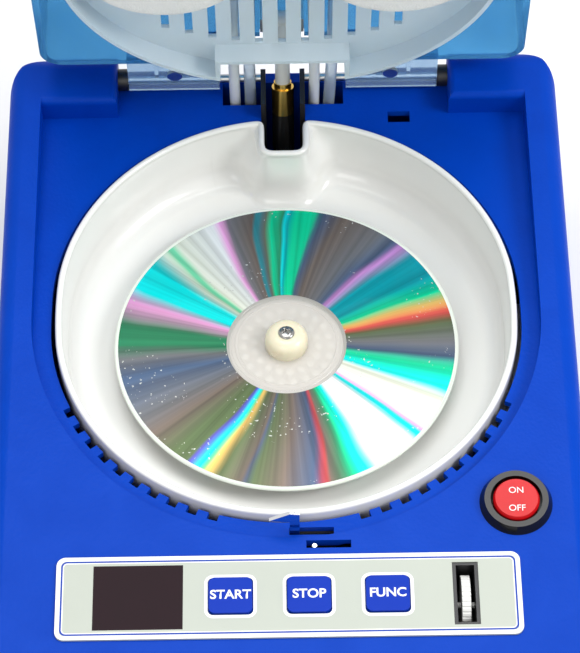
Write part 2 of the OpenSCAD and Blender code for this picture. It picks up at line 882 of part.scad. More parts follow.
// Knurled wheel of the speed dial on its axle
module speed_dial() {
    color([0.92, 0.92, 0.9])
    on_top(dial_x, -panel_reach) translate([0, 0, -dial_sink]) rotate([0, 90, 0]) {
        difference() {
            translate([0, 0, -dial_t / 2]) cylinder(r = dial_r - 0.3, h = dial_t);
            for (i = [0 : 35])
                rotate([0, 0, i * 10]) translate([dial_r - 0.3, 0, -dial_t])
                    cylinder(r = 0.4, h = 2 * dial_t, $fn = 16);
        }
        translate([0, 0, -dial_w / 2]) cylinder(r = dial_axle_r, h = dial_w);
    }
}

well_r = 8.5;
bezel_h = 3;
switch_depth = 18;

// Body and bezel of the power switch
module power_switch_body() {
    color([0.03, 0.03, 0.03])
    on_top(switch_x, -switch_reach) difference() {
        union() {
            translate([0, 0, eps]) cylinder(r1 = bezel_r, r2 = bezel_r - 1.5, h = bezel_h);
            translate([0, 0, -switch_depth]) cylinder(r = switch_hole_r, h = switch_depth + 1);
        }
        translate([0, 0, -4]) cylinder(r = well_r, h = 10);
        translate([0, 0, -10]) cylinder(r = 3.5 + run_gap, h = 10);
    }
}

// Red cap of the power switch with its stem
module power_button() {
    color([0.85, 0.05, 0.05])
    on_top(switch_x, -switch_reach) {
        translate([0, 0, -1]) cylinder(r = cap_r + 0.6, h = 3.5);
        translate([0, 0, 2.5]) cylinder(r1 = cap_r + 0.6, r2 = cap_r, h = 1);
        translate([0, 0, -7]) cylinder(r = 3.5, h = 7);
    }
}

channel_x = 6.2;
pin_len = block_x + 6 - channel_x;

// Two steel pins through the hinge blocks and the lid's tabs
module hinge_pins() {
    color([0.8, 0.8, 0.82])
    for (x = [-channel_x - pin_len, channel_x])
        translate([x, hinge_y, hinge_z]) rotate([0, 90, 0]) cylinder(r = pin_r, h = pin_len);
}

channel_low = floor_z - hose_down;
channel_high = hinge_z + pin_r + 2;

// Two black cheeks beside the strut that hold the pins' inner ends
module strut_channel() {
    color([0.03, 0.03, 0.03])
    difference() {
        for (x = [-strut_slot_x, channel_x])
            translate([x, block_y, channel_low])
                cube([strut_slot_x - channel_x, hose_slot_back - block_y - side_gap,
                    channel_high - channel_low]);
        translate([-2 * channel_x, hinge_y, hinge_z]) rotate([0, 90, 0])
            cylinder(r = pin_r + run_gap, h = 4 * channel_x);
    }
}

// Black bushes between the tabs and the hinge blocks
module hinge_bushes() {
    color([0.05, 0.05, 0.05])
    for (x = [-block_x, tab_outer_x + side_gap])
        translate([x, hinge_y, hinge_z]) rotate([0, 90, 0]) difference() {
            cylinder(r = barrel_r, h = block_x - tab_outer_x - side_gap);
            translate([0, 0, -1]) cylinder(r = pin_r + run_gap, h = block_x);
        }
}

bracket_t = 1.5;
bracket_gap = 6.5;
foot_pin_r = 1.5;

// Bracket that holds the strut's lower pivot
module strut_bracket() {
    color([0.75, 0.76, 0.78])
    union() {
        for (side = [-1, 1])
            translate([side * (bracket_gap - bracket_t / 2) - bracket_t / 2,
                strut_foot_y - 6, tray_floor_z])
                cube([bracket_t, 12, chassis_z - tray_floor_z - 1]);
        translate([-bracket_gap, strut_foot_y - 6, tray_floor_z])
            cube([2 * bracket_gap, 0.8, 2]);
        translate([-bracket_gap, strut_foot_y, strut_foot_z]) rotate([0, 90, 0])
            cylinder(r = foot_pin_r, h = 2 * bracket_gap);
    }
}

arm_y = -strut_arm * cos(open_angle) + strut_lift * sin(open_angle);
arm_z = strut_arm * sin(open_angle) + strut_lift * cos(open_angle);
head_y = hinge_y + arm_y;
head_z = hinge_z + arm_z;
strut_angle = atan2(head_y - strut_foot_y, head_z - strut_foot_z);
strut_open = sqrt(pow(head_y - strut_foot_y, 2) + pow(head_z - strut_foot_z, 2));

// Places children along the open strut, with Z from its lower pivot
module along_strut() {
    translate([0, strut_foot_y, strut_foot_z]) rotate([-strut_angle, 0, 0]) children();
}

eye_r = 3.4;
eye_w = 7;
rod_space = 14;

// Black tube of the gas strut with its lower eye
module strut_tube() {
    color([0.04, 0.04, 0.04])
    along_strut() difference() {
        union() {
            translate([0, 0, eye_r - 1]) cylinder(r = strut_r, h = strut_len - gland_len - eye_r + 1);
            translate([-eye_w / 2, 0, 0]) rotate([0, 90, 0]) cylinder(r = eye_r, h = eye_w);
        }
        translate([-eye_w, 0, 0]) rotate([0, 90, 0])
            cylinder(r = foot_pin_r + run_gap, h = 2 * eye_w);
        translate([0, 0, rod_space]) cylinder(r = rod_r + run_gap, h = strut_len);
    }
}

// Brass gland at the end of the tube
module strut_gland() {
    color([0.8, 0.6, 0.2])
    along_strut() difference() {
        union() {
            translate([0, 0, strut_len - gland_len]) cylinder(r = strut_r, h = gland_len - 2);
            translate([0, 0, strut_len - 2]) cylinder(r = strut_r - 0.8, h = 2);
        }
        translate([0, 0, strut_len - gland_len - 1]) cylinder(r = rod_r + run_gap, h = gland_len + 2);
    }
}

// Bright rod of the gas strut with its upper eye
module strut_rod() {
    color([0.8, 0.8, 0.75])
    along_strut() {
        translate([0, 0, strut_open - rod_len]) cylinder(r = rod_r, h = rod_len - 1);
        translate([-3, 0, strut_open]) rotate([0, 90, 0]) cylinder(r = 3, h = 6);
    }
}

// Places children with the lid swung from shut to open
module lid_open() {
    translate([0, hinge_y, hinge_z]) rotate([-open_angle, 0, 0])
        translate([0, -hinge_y, -hinge_z]) children();
}

lid_r = recess_r - lid_gap;
lid_z = floor_z + 0.5;
lid_top = lid_z + lid_h;

// Outline of the lid, drawn in from its outer face
module lid_plan(inset) {
    r = lid_r - inset;
    corner = 8 - inset;
    circle(r, $fn = 128);
    translate([-r, 0]) square([2 * r, lid_back - inset - corner]);
    translate([-r + corner, 0]) square([2 * (r - corner), lid_back - inset]);
    for (x = [-1, 1])
        translate([x * (r - corner), lid_back - inset - corner]) circle(corner);
}

// Clear blue lid shell
module lid_shell() {
    color([0.25, 0.55, 0.85, 0.5])
    lid_open() difference() {
        translate([0, 0, lid_z]) linear_extrude(lid_h) lid_plan(0);
        translate([0, 0, lid_z - 1]) linear_extrude(lid_h - lid_wall + 1) lid_plan(lid_wall);
        translate([-tab_inner_x + 1, lid_back - lid_wall - 1, lid_z - 1])
            cube([2 * tab_inner_x - 2, lid_wall + 2, 12]);
        translate([-strut_slot_x, lid_back - lid_wall - 1, lid_z - 1])
            cube([2 * strut_slot_x, lid_wall + 2, shut_head_z + 2 - lid_z]);
        translate([catch_x - 1, -lid_r - 1, lid_z - 1])
            cube([hook_nose + hook_w + lock_travel + 2, lid_wall + 3, hook_rise + 3]);
    }
}

tab_z = hinge_z - 3.2;
tab_t = 2.4;
tab_screw_x = 39;
tab_screw_y = hinge_y - hinge_reach / 2;

// Clear tabs that carry the lid on the hinge pin
module hinge_tabs() {
    color([0.75, 0.88, 0.95, 0.6])
    lid_open() for (side = [-1, 1]) mirror([side < 0 ? 1 : 0, 0, 0]) difference() {
        union() {
            translate([tab_inner_x, lid_back, tab_z])
                cube([tab_outer_x - tab_inner_x, hinge_y - lid_back, tab_t]);
            translate([tab_inner_x, lid_back, tab_z])
                cube([tab_outer_x - tab_inner_x, 2.4, 12]);
            translate([tab_inner_x, hinge_y, hinge_z]) rotate([0, 90, 0])
                cylinder(r = barrel_r, h = tab_outer_x - tab_inner_x);
            for (x = [tab_inner_x + 9.5, tab_outer_x - 11])
                translate([x, lid_back, tab_z]) cube([1.4, hinge_y - lid_back, 5.5]);
        }
        translate([0, hinge_y, hinge_z]) rotate([0, 90, 0])
            cylinder(r = pin_r + run_gap, h = 2 * tab_outer_x);
        translate([tab_screw_x, tab_screw_y, tab_z - 1]) cylinder(r = screw_r, h = 2 * tab_t);
    }
}

// Screws through the tabs
module tab_screws() {
    color([0.75, 0.72, 0.65])
    lid_open() for (side = [-1, 1])
        translate([side * tab_screw_x, tab_screw_y, tab_z]) {
            translate([0, 0, -1.2]) cylinder(r = screw_r + 1.2, h = 1.2);
            cylinder(r = screw_r, h = 5);
        }
}

cover_z = disc_z + cover_plate_z;
cover_stretch = bowl_stretch - 0.7;
cover_notch_y = bump_low_y - pocket_wall + 0.1;
vent_end = cover_notch_y - 2.5;
post_r = 3;
post_places = [for (x = [-1, 1], p = [[20, -62], [66, -8]]) [x * p[0], p[1]]];

// Outline of the inner cover, drawn in from its outer face
module cover_plan(inset) {
    r = cover_r - inset;
    difference() {
        union() {
            circle(r, $fn = 128);
            translate([0, cover_stretch]) circle(r, $fn = 128);
            translate([-r, 0]) square([2 * r, cover_stretch]);
        }
        translate([-cover_notch_w / 2 - inset, cover_notch_y - inset])
            square([cover_notch_w + 2 * inset, 2 * cover_stretch]);
    }
}

// Frosted inner cover with its skirt and vent slots
module inner_cover() {
    color([0.85, 0.9, 0.95, 0.8])
    lid_open() difference() {
        union() {
            difference() {
                translate([0, 0, cover_z - cover_skirt]) linear_extrude(cover_skirt) cover_plan(0);
                translate([0, 0, cover_z - cover_skirt - 1])
                    linear_extrude(cover_skirt - cover_wall + 1) cover_plan(cover_wall);
            }
            for (p = post_places)
                translate([p[0], p[1], cover_z - cover_wall / 2])
                    cylinder(r = post_r, h = lid_top - lid_wall - cover_z + cover_wall / 2);
        }
        for (i = [-(vent_count - 1) / 2 : (vent_count - 1) / 2])
            translate([i * vent_pitch - vent_w / 2, vent_end - vent_len, cover_z - 2 * cover_wall])
                cube([vent_w, vent_len - 0.4 * i * i, 4 * cover_wall]);
        for (x = [-1, 1])
            translate([x * pad_x, pad_y, cover_z - cover_skirt])
                cylinder(r = hub_r + side_gap, h = 2 * cover_skirt);
    }
}

pad_z = disc_z + pad_gap;
hub_z = pad_z + pad_t;
hub_r = 4;
hub_plate_t = 1.5;

// Felt pad of the hub at one side
module pad_felt(side) {
    lid_open() translate([side * pad_x, pad_y, pad_z])
        cylinder(r = pad_r, h = pad_t, $fn = 96);
}

// Backing plate, shaft and pulley of one pad
module pad_hub(side) {
    lid_open() translate([side * pad_x, pad_y, 0]) {
        translate([0, 0, hub_z]) cylinder(r = pad_r - 1, h = hub_plate_t, $fn = 96);
        translate([0, 0, hub_z]) cylinder(r = hub_r, h = cover_z + 3 - hub_z);
        translate([0, 0, cover_z + 2]) cylinder(r = pad_pulley_r, h = belt_w);
        translate([0, 0, cover_z + 2]) cylinder(r = pad_pulley_r + 1.5, h = 0.8);
    }
}

module left_pad() { color([0.9, 0.9, 0.88]) pad_felt(-1); }
module right_pad() { color([0.9, 0.9, 0.88]) pad_felt(1); }
module left_pad_hub() { color([0.1, 0.1, 0.1]) pad_hub(-1); }
module right_pad_hub() { color([0.1, 0.1, 0.1]) pad_hub(1); }

lid_motor_y = -30;
lid_motor_pulley_r = 4;
lid_belt_z = cover_z + 3;

// Small motor that turns both pads
module pad_motor() {
    color([0.7, 0.7, 0.72])
    lid_open() translate([0, lid_motor_y, cover_z]) difference() {
        union() {
            cylinder(r = 11, h = 2.5);
            translate([0, 0, belt_w + 3.3]) cylinder(r = 11, h = lid_top - lid_wall - cover_z - belt_w - 3.3);
            for (a = [90, 210, 330])
                rotate([0, 0, a]) translate([9, 0, 0]) cylinder(r = 1.5, h = belt_w + 4);
        }
        translate([0, 0, -1]) cylinder(r = 1.6, h = 12);
    }
}

// Pulley and shaft of the pads' motor
module pad_motor_pulley() {
    color([0.85, 0.75, 0.4])
    lid_open() translate([0, lid_motor_y, cover_z]) {
        translate([0, 0, 2.8]) cylinder(r = lid_motor_pulley_r, h = belt_w);
        translate([0, 0, 1]) cylinder(r = 1.5, h = 8);
    }
}

// Area inside the belt round both pads' pulleys and the motor's pulley
module pad_belt_area(grow) {
    hull() {
        for (side = [-1, 1])
            translate([side * pad_x, pad_y]) circle(pad_pulley_r + run_gap + grow);
        translate([0, lid_motor_y]) circle(lid_motor_pulley_r + run_gap + grow);
    }
}

// Belt in the lid
module pad_belt() {
    color([0.05, 0.05, 0.05])
    lid_open() translate([0, 0, lid_belt_z + side_gap]) linear_extrude(belt_w - 4 * side_gap)
        difference() {
            pad_belt_area(belt_t);
            pad_belt_area(0);
        }
}

clevis_gap = 4.2;
clevis_t = 1.6;
shut_head_y = hinge_y - strut_arm;
shut_head_z = hinge_z + strut_lift;

// Clevis on the lid for the strut's upper end
module strut_clevis() {
    color([0.75, 0.76, 0.78])
    lid_open() {
        for (side = [-1, 1])
            translate([side * (clevis_gap + 2 + clevis_t / 2) - clevis_t / 2, shut_head_y - 4, shut_head_z - 3])
                cube([clevis_t, 8, lid_top - lid_wall - shut_head_z + 3]);
        translate([-clevis_gap - 2 - clevis_t, shut_head_y - 4, lid_top - lid_wall - 1.5])
            cube([2 * (clevis_gap + 2 + clevis_t), 8, 1.5]);
        for (side = [-1, 1])
            translate([side > 0 ? clevis_gap : -clevis_gap - 2, shut_head_y, shut_head_z])
                rotate([0, 90, 0]) cylinder(r = 1.4, h = 2);
    }
}

catch_x = lock_x - hook_nose;
catch_w = hook_nose + 2;
catch_h = 3.5;
catch_reach = 3.5;

// Catch at the lid's front edge, under the nose of the lock's hook
module lid_catch() {
    color([0.25, 0.55, 0.85, 0.6])
    lid_open() {
        intersection() {
            translate([0, 0, lid_z]) linear_extrude(lid_h) lid_plan(lid_wall);
            translate([catch_x - 4, -lid_r, lid_z + 1])
                cube([catch_w, lid_wall + catch_reach, catch_h]);
        }
        translate([catch_x - 0.7, -lid_r + 0.5, lid_z + 1])
            cube([catch_w - 3.3, lid_wall + 1, catch_h]);
    }
}

// Steel slider with the lid's hook and the release pin
module lock_hook() {
    color([0.75, 0.76, 0.8])
    translate([lock_x, 0, 0]) {
        translate([-1, -lock_slot_reach - hook_t / 2, lock_z - 6])
            cube([16, hook_t, 4]);
        translate([0.2, -lock_slot_reach - hook_t / 2, lock_z - 6])
            cube([hook_w - 0.4, hook_t, 6 + wall + hook_rise]);
        translate([0, -lock_slot_reach + hook_t / 2, lock_z + wall]) rotate([90, 0, 0])
            linear_extrude(hook_t)
                polygon([[hook_w - 0.4, hook_rise], [0.2, hook_rise + 0.5],
                    [-hook_nose, hook_rise - 3.5], [0.2, hook_rise - 4.5]]);
        translate([7.4, -pin_slot_reach - 0.7, lock_z - 6])
            cube([1.6, pin_slot_reach - lock_slot_reach + 0.7, 1.5]);
        translate([8.2, -pin_slot_reach, lock_z - 6]) cylinder(r = 0.8, h = 8.5);
    }
}

guide_left = -8;
guide_len = 36;
guide_w = 5.2;
guide_h = 8;
guide_wall = 1.6;

// Guide rails of the lock under the recess floor
module lock_guide() {
    color([0.1, 0.1, 0.1])
    translate([guide_left, -lock_slot_reach - guide_w / 2, lock_z - guide_h]) difference() {
        cube([guide_len, guide_w, guide_h]);
        translate([1, guide_wall, guide_wall]) cube([guide_len - 2, guide_w - 2 * guide_wall, guide_h]);
        translate([14, -1, guide_wall]) cube([14, guide_wall + 2, guide_h]);
    }
}

// Return spring of the lock
module lock_spring() {
    color([0.7, 0.7, 0.72])
    translate([15.3, -lock_slot_reach, lock_z - 4]) rotate([0, 90, 0])
        cylinder(r = 0.7, h = 11, $fn = 16);
}

// Power inlet socket in the back wall
module power_inlet() {
    color([0.03, 0.03, 0.03])
    translate([inlet_x, back_reach - 14, inlet_z]) rotate([-90, 0, 0]) difference() {
        translate([-inlet_w / 2, -inlet_h / 2, 0]) cube([inlet_w, inlet_h, 14]);
        translate([0, 0, 4]) cylinder(r = 2.8, h = 12);
    }
}

tank_front = -30;

// Tank for the repair fluid
module fluid_tank() {
    color([0.9, 0.92, 0.95, 0.7])
    translate([half_w - wall - 2 - tank_w, tank_front, tray_floor_z]) difference() {
        cube([tank_w, tank_l, tank_h]);
        translate([wall / 2, wall / 2, wall / 2])
            cube([tank_w - wall, tank_l - wall, tank_h - wall]);
    }
}

pump_r = 11;
pump_h = 20;

// Small pump beside the tank
module fluid_pump() {
    color([0.15, 0.15, 0.16])
    translate([half_w - wall - pump_r - 4, tank_front + tank_l + pump_r + 2, tray_floor_z]) {
        cylinder(r = pump_r, h = pump_h);
        translate([0, 0, pump_h]) cylinder(r = 3, h = 6);
    }
}

hose_y = hinge_y - hose_ahead;
hose_low_z = floor_z - hose_down;
hose_high_z = floor_z + hose_up;
hose_wall = 0.7;
hose_lean = 2.8;

// Straight hose between two points
module hose(a, b, r) {
    d = b - a;
    len = norm(d);
    translate(a) rotate([0, acos(d[2] / len), atan2(d[1], d[0])]) difference() {
        cylinder(r = r, h = len, $fn = 24);
        translate([0, 0, -1]) cylinder(r = r - hose_wall, h = len + 2, $fn = 24);
    }
}

// White hoses from the case into the lid
module white_hoses() {
    color([0.95, 0.95, 0.95])
    for (x = [white_left_x, white_right_x])
        hose([x, hose_y, hose_low_z], [x, hose_y, hose_high_z], white_hose_r);
}

// Clear hoses from the case into the lid
module clear_hoses() {
    color([0.8, 0.88, 0.95, 0.6]) {
        hose([clear_left_x, hose_y, hose_low_z], [clear_left_x, hose_y, hose_high_z],
            clear_hose_r);
        hose([clear_right_x, hose_y, hose_low_z],
            [clear_right_x + hose_lean, hose_y, hose_high_z], clear_hose_r);
    }
}

base_tray();
rubber_feet();
case_screws();
top_case();
bowl();
chassis_plate();
chassis_screws();
spindle_housing();
spindle_bearings();
shaft_seal();
drive_motor();
drive_belt();
control_board();
display_module();
display_window();
panel_overlay();
key_switches();
dial_housing();
power_switch_body();
hinge_pins();
hinge_bushes();
strut_bracket();
strut_channel();
power_inlet();
fluid_tank();
fluid_pump();
white_hoses();
clear_hoses();
lock_guide();
lock_spring();
spindle_shaft();
spindle_pulley();
turntable();
grip_beads();
centre_knob();
knob_screw();
optical_disc();
motor_pulley();
lid_shell();
hinge_tabs();
tab_screws();
inner_cover();
pad_motor();
pad_belt();
strut_clevis();
lid_catch();
left_pad();
left_pad_hub();
right_pad();
right_pad_hub();
pad_motor_pulley();
strut_tube();
strut_gland();
strut_rod();
start_key();
stop_key();
func_key();
power_button();
speed_dial();
lock_hook();
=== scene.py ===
# %% [markdown]
# # A disc repair machine, dressed for its portrait
# The machine is a blue console with a white wash bowl, a disc on a spindle and a clear lid
# that stands open. The construction comes in ready made, at its real size. These cells give
# each moulding its finish, and model the pieces whose softness or lettering needs a mesh.

# %% Load the construction
import math

import bmesh
import bpy
from mathutils import Matrix, Vector
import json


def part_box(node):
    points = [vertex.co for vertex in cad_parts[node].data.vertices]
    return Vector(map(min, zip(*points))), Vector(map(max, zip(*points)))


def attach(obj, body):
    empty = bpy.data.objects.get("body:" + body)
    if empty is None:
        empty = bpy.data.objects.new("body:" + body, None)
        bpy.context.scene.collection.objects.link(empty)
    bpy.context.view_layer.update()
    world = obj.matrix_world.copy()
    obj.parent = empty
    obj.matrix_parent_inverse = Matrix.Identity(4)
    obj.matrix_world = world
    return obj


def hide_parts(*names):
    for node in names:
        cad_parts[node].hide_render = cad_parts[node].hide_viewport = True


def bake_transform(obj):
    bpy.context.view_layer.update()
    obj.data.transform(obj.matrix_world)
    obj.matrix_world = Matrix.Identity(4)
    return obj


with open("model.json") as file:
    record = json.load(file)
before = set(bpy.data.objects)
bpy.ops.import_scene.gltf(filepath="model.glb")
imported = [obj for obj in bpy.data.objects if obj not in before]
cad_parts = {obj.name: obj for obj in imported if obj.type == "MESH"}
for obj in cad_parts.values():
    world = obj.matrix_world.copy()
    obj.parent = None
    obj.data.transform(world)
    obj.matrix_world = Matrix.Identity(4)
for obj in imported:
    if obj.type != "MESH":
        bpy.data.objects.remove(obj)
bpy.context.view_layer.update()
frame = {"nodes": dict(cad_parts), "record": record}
MM = 0.001

# %% [markdown]
# The record holds every joint with its place and axis. The sizes that the new pieces need are
# read from it and from the boxes of the nodes, so that they follow the construction.

# %% Read the places that the pieces hang on
joints = {joint["name"]: joint for joint in frame["record"]["behaviour"]["joints"]}
disc_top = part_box("optical_disc")[1][2]
hinge_point = Vector(joints["lid_hinge"]["pos_m"])
press_axis = Vector(joints["start_press"]["axis"])
panel_up = -press_axis
slope = math.atan2(-panel_up.y, panel_up.z)
print("disc top", round(disc_top, 4), "slope", round(math.degrees(slope), 2))

# %% [markdown]
# ## Camera
# The picture looks down on the machine at 55 degrees from just under a metre away. The disc's
# ellipse gives the angle, and the way the case narrows to the back gives the distance. The
# lens is long, and a small shift puts the disc where the photograph has it.

# %% Place the camera
PHOTO_W, PHOTO_H = 580, 653
VIEW_ELEVATION = math.radians(55)
VIEW_DISTANCE = 0.950
FOCAL_PIXELS = 2726
DISC_X_PX, DISC_Y_PX = 286.5, 343.6
VIEW_ROLL = math.radians(0.85)

disc_centre = Vector((0, 0, disc_top))
view_dir = Vector((0, -math.cos(VIEW_ELEVATION), math.sin(VIEW_ELEVATION)))
camera_data = bpy.data.cameras.new("camera")
camera = bpy.data.objects.new("camera", camera_data)
bpy.context.scene.collection.objects.link(camera)
camera_data.sensor_fit = "VERTICAL"
camera_data.sensor_height = 36
camera_data.lens = FOCAL_PIXELS / PHOTO_H * camera_data.sensor_height
camera_data.shift_x = (PHOTO_W / 2 - DISC_X_PX) / PHOTO_H
camera_data.shift_y = (DISC_Y_PX - PHOTO_H / 2) / PHOTO_H
camera_data.clip_end = 20
look = (-view_dir).to_track_quat("-Z", "Y").to_matrix().to_4x4()
camera.matrix_world = (Matrix.Translation(disc_centre + view_dir * VIEW_DISTANCE)
                       @ look @ Matrix.Rotation(-VIEW_ROLL, 4, "Z"))
bpy.context.scene.camera = camera
print("lens", round(camera_data.lens, 1), "mm")

# %% [markdown]
# ## Studio
# A pale floor and a white surround stand for the cut-out background. The camera, mirrors and
# glass see white, and the floor keeps the machine's soft shadow. One broad lamp hangs overhead
# and one stands to the right, as the bright sides of the bowl and the knob show. A weak one in
# front lifts the felt pads and the inner cover.

# %% Build the floor and the lamps
def new_object(name, mesh):
    piece = bpy.data.objects.new(name, mesh)
    bpy.context.scene.collection.objects.link(piece)
    return piece


def mesh_from(bm, name, smooth=True):
    """Turns a bmesh into a mesh and frees it."""
    mesh = bpy.data.meshes.new(name)
    bm.to_mesh(mesh)
    bm.free()
    for face in mesh.polygons:
        face.use_smooth = smooth
    return mesh


FLOOR_HALF = 3
SURROUND_ON_MATT, SURROUND_SEEN = 0.56, 1.0
floor_bm = bmesh.new()
bmesh.ops.create_grid(floor_bm, x_segments=1, y_segments=1, size=FLOOR_HALF)
floor = new_object("floor", mesh_from(floor_bm, "floor", smooth=False))

floor_finish = bpy.data.materials.new("floor_pale")
floor_finish.use_nodes = True
floor_shader = floor_finish.node_tree.nodes["Principled BSDF"]
floor_shader.inputs["Base Color"].default_value = (0.9, 0.9, 0.9, 1)
floor_shader.inputs["Roughness"].default_value = 0.7
floor.data.materials.append(floor_finish)

world = bpy.data.worlds.new("surround")
bpy.context.scene.world = world
world.use_nodes = True
world_nodes = world.node_tree.nodes
world_links = world.node_tree.links
background = world_nodes["Background"]
background.inputs["Color"].default_value = (1, 1, 1, 1)
ray = world_nodes.new("ShaderNodeLightPath")
seen = world_nodes.new("ShaderNodeMath")
seen.operation = "MAXIMUM"
seen_far = world_nodes.new("ShaderNodeMath")
seen_far.operation = "MAXIMUM"
strength = world_nodes.new("ShaderNodeMapRange")
strength.inputs["To Min"].default_value = SURROUND_ON_MATT
strength.inputs["To Max"].default_value = SURROUND_SEEN
world_links.new(ray.outputs["Is Camera Ray"], seen.inputs[0])
world_links.new(ray.outputs["Is Glossy Ray"], seen.inputs[1])
world_links.new(seen.outputs[0], seen_far.inputs[0])
world_links.new(ray.outputs["Is Transmission Ray"], seen_far.inputs[1])
world_links.new(seen_far.outputs[0], strength.inputs["Value"])
world_links.new(strength.outputs["Result"], background.inputs["Strength"])


def area_lamp(name, place, size, power):
    """A rectangular lamp, sizes in metres and power in watts, that points at the machine."""
    data = bpy.data.lights.new(name, "AREA")
    data.shape = "RECTANGLE"
    data.size, data.size_y = size
    data.energy = power
    lamp = bpy.data.objects.new(name, data)
    lamp.location = place
    lamp.rotation_euler = (LAMP_TARGET - Vector(place)).to_track_quat("-Z", "Y").to_euler()
    bpy.context.scene.collection.objects.link(lamp)


LAMP_TARGET = Vector((0, 0, 0.06))
area_lamp("lamp_right", (0.9, -0.25, 0.95), (0.5, 0.5), 8)
area_lamp("lamp_front", (-0.35, -0.9, 0.9), (0.7, 0.5), 2.6)
area_lamp("lamp_top", (0.0, 0.25, 1.2), (0.9, 0.6), 8)
bpy.context.scene.view_settings.view_transform = "Standard"

# %% [markdown]
# ## Shared effects
# Two effects turn up on many pieces. Moulded grain is the fine leathery texture of the case,
# made from two sizes of noise. Handling wear is the slight change of tone and gloss that every
# used surface has. Each is a node group, built once, that gives only a height and a mask.

# %% Node group for the moulded grain
def group_with(name, inputs, outputs):
    group = bpy.data.node_groups.new(name, "ShaderNodeTree")
    for socket, kind, value in inputs:
        made = group.interface.new_socket(socket, in_out="INPUT", socket_type=kind)
        if value is not None:
            made.default_value = value
    for socket, kind in outputs:
        group.interface.new_socket(socket, in_out="OUTPUT", socket_type=kind)
    return group, group.nodes.new("NodeGroupInput"), group.nodes.new("NodeGroupOutput")


grain_group, grain_in, grain_out = group_with(
    "moulded_grain",
    [("Vector", "NodeSocketVector", None), ("Scale", "NodeSocketFloat", 900.0)],
    [("Height", "NodeSocketFloat"), ("Tone", "NodeSocketFloat")],
)
pebble = grain_group.nodes.new("ShaderNodeTexVoronoi")
pebble.feature = "SMOOTH_F1"
broad = grain_group.nodes.new("ShaderNodeTexNoise")
broad.inputs["Scale"].default_value = 35.0
broad.inputs["Detail"].default_value = 4.0
grain_group.links.new(grain_in.outputs["Vector"], pebble.inputs["Vector"])
grain_group.links.new(grain_in.outputs["Scale"], pebble.inputs["Scale"])
grain_group.links.new(grain_in.outputs["Vector"], broad.inputs["Vector"])
grain_group.links.new(pebble.outputs["Distance"], grain_out.inputs["Height"])
grain_group.links.new(broad.outputs["Fac"], grain_out.inputs["Tone"])

# %% Node group for handling wear
wear_group, wear_in, wear_out = group_with(
    "handling_wear",
    [("Vector", "NodeSocketVector", None), ("Scale", "NodeSocketFloat", 60.0)],
    [("Smudge", "NodeSocketFloat"), ("Speck", "NodeSocketFloat")],
)
smudge = wear_group.nodes.new("ShaderNodeTexNoise")
smudge.inputs["Detail"].default_value = 5.0
smudge.inputs["Distortion"].default_value = 0.6
speck = wear_group.nodes.new("ShaderNodeTexNoise")
speck.inputs["Scale"].default_value = 700.0
speck.inputs["Detail"].default_value = 2.0
speck_cut = wear_group.nodes.new("ShaderNodeMapRange")
speck_cut.inputs["From Min"].default_value = 0.70
speck_cut.inputs["From Max"].default_value = 0.74
wear_group.links.new(wear_in.outputs["Vector"], smudge.inputs["Vector"])
wear_group.links.new(wear_in.outputs["Scale"], smudge.inputs["Scale"])
wear_group.links.new(wear_in.outputs["Vector"], speck.inputs["Vector"])
wear_group.links.new(speck.outputs["Fac"], speck_cut.inputs["Value"])
wear_group.links.new(smudge.outputs["Fac"], wear_out.inputs["Smudge"])
wear_group.links.new(speck_cut.outputs["Result"], wear_out.inputs["Speck"])
print("groups:", [group.name for group in bpy.data.node_groups])

# %% [markdown]
# ## Finishes
# A finish starts from the Principled shader. Its colour drifts a little between two tones, and
# its roughness drifts the other way, so that a highlight breaks up as on a real moulding.
# The grain's strength is what tells a textured case from a polished bowl.

# %% Helper that makes a finish
def finish(name, colour, second=None, rough=(0.35, 0.5), grain=(900.0, 0.0), smear=60.0,
           **plain):
    """A procedural material: two tones, two roughnesses, a grain, and plain shader values."""
    made = bpy.data.materials.new(name)
    made.use_nodes = True
    nodes, links = made.node_tree.nodes, made.node_tree.links
    shader = nodes["Principled BSDF"]
    place = nodes.new("ShaderNodeTexCoord")
    wear = nodes.new("ShaderNodeGroup")
    wear.node_tree = wear_group
    wear.inputs["Scale"].default_value = smear
    links.new(place.outputs["Object"], wear.inputs["Vector"])
    tone = nodes.new("ShaderNodeMix")
    tone.data_type = "RGBA"
    tone.inputs["A"].default_value = (*colour, 1)
    tone.inputs["B"].default_value = (*(second or [0.88 * c for c in colour]), 1)
    links.new(wear.outputs["Smudge"], tone.inputs["Factor"])
    links.new(tone.outputs["Result"], shader.inputs["Base Color"])
    gloss = nodes.new("ShaderNodeMapRange")
    gloss.inputs["To Min"].default_value, gloss.inputs["To Max"].default_value = rough
    links.new(wear.outputs["Smudge"], gloss.inputs["Value"])
    links.new(gloss.outputs["Result"], shader.inputs["Roughness"])
    if grain[1]:
        texture = nodes.new("ShaderNodeGroup")
        texture.node_tree = grain_group
        texture.inputs["Scale"].default_value = grain[0]
        links.new(place.outputs["Object"], texture.inputs["Vector"])
        bump = nodes.new("ShaderNodeBump")
        bump.inputs["Strength"].default_value = grain[1]
        bump.inputs["Distance"].default_value = 0.0002
        links.new(texture.outputs["Height"], bump.inputs["Height"])
        links.new(bump.outputs["Normal"], shader.inputs["Normal"])
    for socket, value in plain.items():
        shader.inputs[socket.replace("_", " ")].default_value = value
    return made


